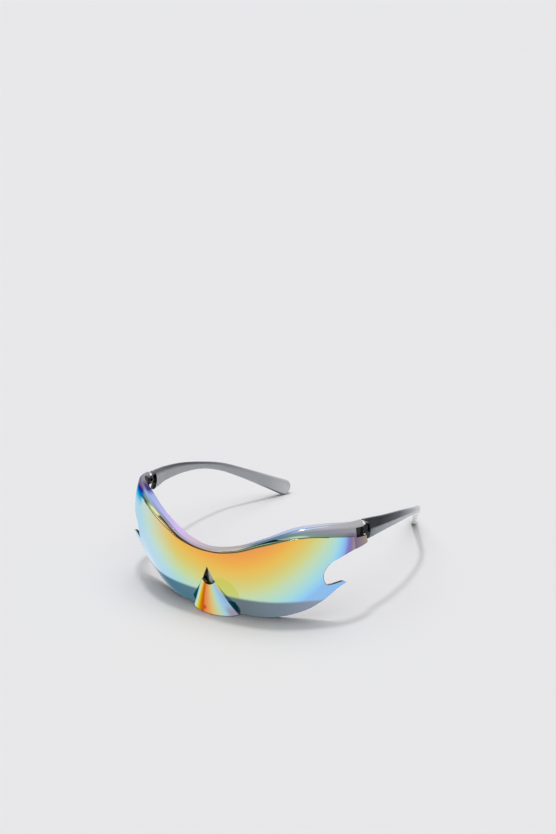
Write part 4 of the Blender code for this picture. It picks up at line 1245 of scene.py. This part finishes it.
for cad_name, cad_object in frame["nodes"].items():
    if cad_name in ("shield_lens", "brow_bar", "temple_left", "temple_right"):
        continue
    is_leaf = cad_name.startswith(("hinge_front_leaf", "hinge_temple_leaf"))
    is_black = cad_name.startswith("hinge_")
    form = bmesh.new()
    form.from_mesh(cad_object.data)
    bmesh.ops.remove_doubles(form, verts=form.verts, dist=TUMBLED_EDGE * WELD_SHARE)
    bmesh.ops.dissolve_limit(form, angle_limit=math.radians(FLAT_ANGLE), verts=form.verts, edges=form.edges)
    material = black_steel if is_black else bright_steel
    metal = new_piece(f"{cad_name}_metal", form, (material,))
    round_edges(metal, TUMBLED_EDGE if is_leaf else TUMBLED_EDGE / 2, segments=2, degrees=40)
    even_shading(metal)
    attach(metal, cad_object["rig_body"])
    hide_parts(cad_name)

# Floor and light
# A seamless pale table under a wide sky that is brightest straight above the glasses, with one
# small lamp overhead that draws the thin shadows of the arms.

FLOOR_SIZE = 40.0
BACKGROUND = "E8E8EA"
WHITE = "FFFFFF"
SEEN_TABLE = "F9F9FA"
LAMP_PLACE = Vector((-70, -24, 1500)) * MM
LAMP_RADIUS = 85 * MM
LAMP_SHARE = 0.24
AMBIENT = 0.3
PATCH = 1.63
PATCH_FACING = Vector((0.0, 0.0, 1.0))
PATCH_EDGE = math.cos(math.radians(45))
PATCH_CORE = math.cos(math.radians(10))
SHINE = 0.97
GLINT = 0.7
GLINT_FACING = Vector((0.40, -0.42, 0.81)).normalized()
GLINT_EDGE = math.cos(math.radians(26))
GLINT_CORE = math.cos(math.radians(18))


def mirror_ray(tree, ray):
    """1 for a ray that has met a mirror with no matt surface before it, else 0."""
    first = node(tree, "Math", "LESS_THAN", _0=ray.outputs["Diffuse Depth"], _1=0.5)
    return node(tree, "Math", "MULTIPLY", _0=ray.outputs["Is Glossy Ray"], _1=first)


# The matt table scatters all light evenly and has no shine. Its colour is levelled for the lamp's
# falloff, so that the eye sees one tone to the horizon, and mirrors see it as the sky's own white.
floor_finish, tree = new_material("Pale seamless table, matt")
ray = node(tree, "LightPath")
place = node(tree, "TexCoord")
lamp_reach = node(tree, "VectorMath", "DISTANCE", _0=place.outputs["Object"], _1=LAMP_PLACE)
lamp_slant = node(tree, "Math", "DIVIDE", _0=LAMP_SHARE * LAMP_PLACE.z, _1=lamp_reach)
lit = node(tree, "Math", "ADD", _0=1 - LAMP_SHARE, _1=lamp_slant)
levelled = node(tree, "Math", "DIVIDE", _0=1.0, _1=lit)
even = node(tree, "VectorMath", "SCALE", _0=hex_colour(BACKGROUND)[:3], Scale=levelled)
table_colour = lay_over(tree, SEEN_TABLE, (ray.outputs["Is Camera Ray"], even))
table_shader = node(tree, "BsdfPrincipled", Base_Color=table_colour, Roughness=1.0, Specular_IOR_Level=0.0)
mirrored = node(tree, "Emission", Color=WHITE, Strength=SHINE)
table = node(tree, "MixShader", _0=mirror_ray(tree, ray), _1=table_shader, _2=mirrored)
node(tree, "OutputMaterial", Surface=table)

floor_form = bmesh.new()
bmesh.ops.create_grid(floor_form, x_segments=1, y_segments=1, size=FLOOR_SIZE / 2)
floor = new_piece("floor", floor_form, (floor_finish,), bpy.context.scene.collection)

world = bpy.data.worlds.new("Studio sky")
bpy.context.scene.world = world
tree = empty_tree(world)
ray = node(tree, "LightPath")
view = node(tree, "TexCoord")
skies = []
for facing, edge, core, bright, base in (
    (PATCH_FACING, PATCH_EDGE, PATCH_CORE, PATCH, AMBIENT),
    (GLINT_FACING, GLINT_EDGE, GLINT_CORE, GLINT, SHINE),
):
    towards = node(tree, "VectorMath", "DOT_PRODUCT", _0=view.outputs["Generated"], _1=facing)
    strength = node(tree, "MapRange", SMOOTH, Value=towards, _1=edge, _2=core, _3=base, _4=base + bright)
    skies.append(node(tree, "Background", Color=WHITE, Strength=strength))
backdrop = node(tree, "Background", Color=BACKGROUND, Strength=1.0)
lighting = node(tree, "MixShader", _0=mirror_ray(tree, ray), _1=skies[0], _2=skies[1])
clear_ray = node(
    tree, "Math", "MAXIMUM", _0=ray.outputs["Is Camera Ray"], _1=ray.outputs["Is Transmission Ray"]
)
sky = node(tree, "MixShader", _0=clear_ray, _1=lighting, _2=backdrop)
node(tree, "OutputWorld", Surface=sky)

lamp_data = bpy.data.lights.new("overhead_lamp", "POINT")
lamp_data.energy = LAMP_SHARE * 4 * math.pi**2
lamp_data.shadow_soft_size = LAMP_RADIUS
tree = empty_tree(lamp_data)
falloff = node(tree, "LightFalloff", Strength=1.0)
glow = node(tree, "Emission", Strength=falloff.outputs["Constant"])
node(tree, "OutputLight", Surface=glow)
lamp = bpy.data.objects.new("overhead_lamp", lamp_data)
lamp.location = LAMP_PLACE
bpy.context.scene.collection.objects.link(lamp)

# Camera
# It stands 0.8 m off, to the wearer's left of the front, and looks down on the table.

CAMERA_AZIMUTH = 32.249
CAMERA_ELEVATION = 27.696
CAMERA_DISTANCE = 800 * MM
CAMERA_PAN = -2.779
CAMERA_TILT = -7.428
CAMERA_LENS = 64.24
CAMERA_SENSOR = 36
CLIP_NEAR = 10 * MM
CLIP_FAR = 100
AIM_Y = -77.4 * MM


def direction(azimuth, elevation):
    flat = math.cos(math.radians(elevation))
    out = math.sin(math.radians(azimuth)) * flat
    return Vector((out, -math.cos(math.radians(azimuth)) * flat, math.sin(math.radians(elevation))))


backward = direction(CAMERA_AZIMUTH + CAMERA_PAN, CAMERA_ELEVATION + CAMERA_TILT)
level = math.radians(CAMERA_AZIMUTH + CAMERA_PAN)
rightward = Vector((math.cos(level), math.sin(level), 0))
upward = backward.cross(rightward)
camera_data = bpy.data.cameras.new("camera")
camera_data.lens = CAMERA_LENS
camera_data.sensor_width = CAMERA_SENSOR
camera_data.clip_start = CLIP_NEAR
camera_data.clip_end = CLIP_FAR
camera = bpy.data.objects.new("camera", camera_data)
stand = direction(CAMERA_AZIMUTH, CAMERA_ELEVATION) * CAMERA_DISTANCE + Vector((0, AIM_Y, 0))
columns = Matrix((rightward, upward, backward)).transposed()
camera.matrix_world = Matrix.Translation(stand) @ columns.to_4x4()
bpy.context.scene.collection.objects.link(camera)
bpy.context.scene.camera = camera
bpy.context.scene.view_settings.view_transform = "Standard"

bpy.context.view_layer.update()
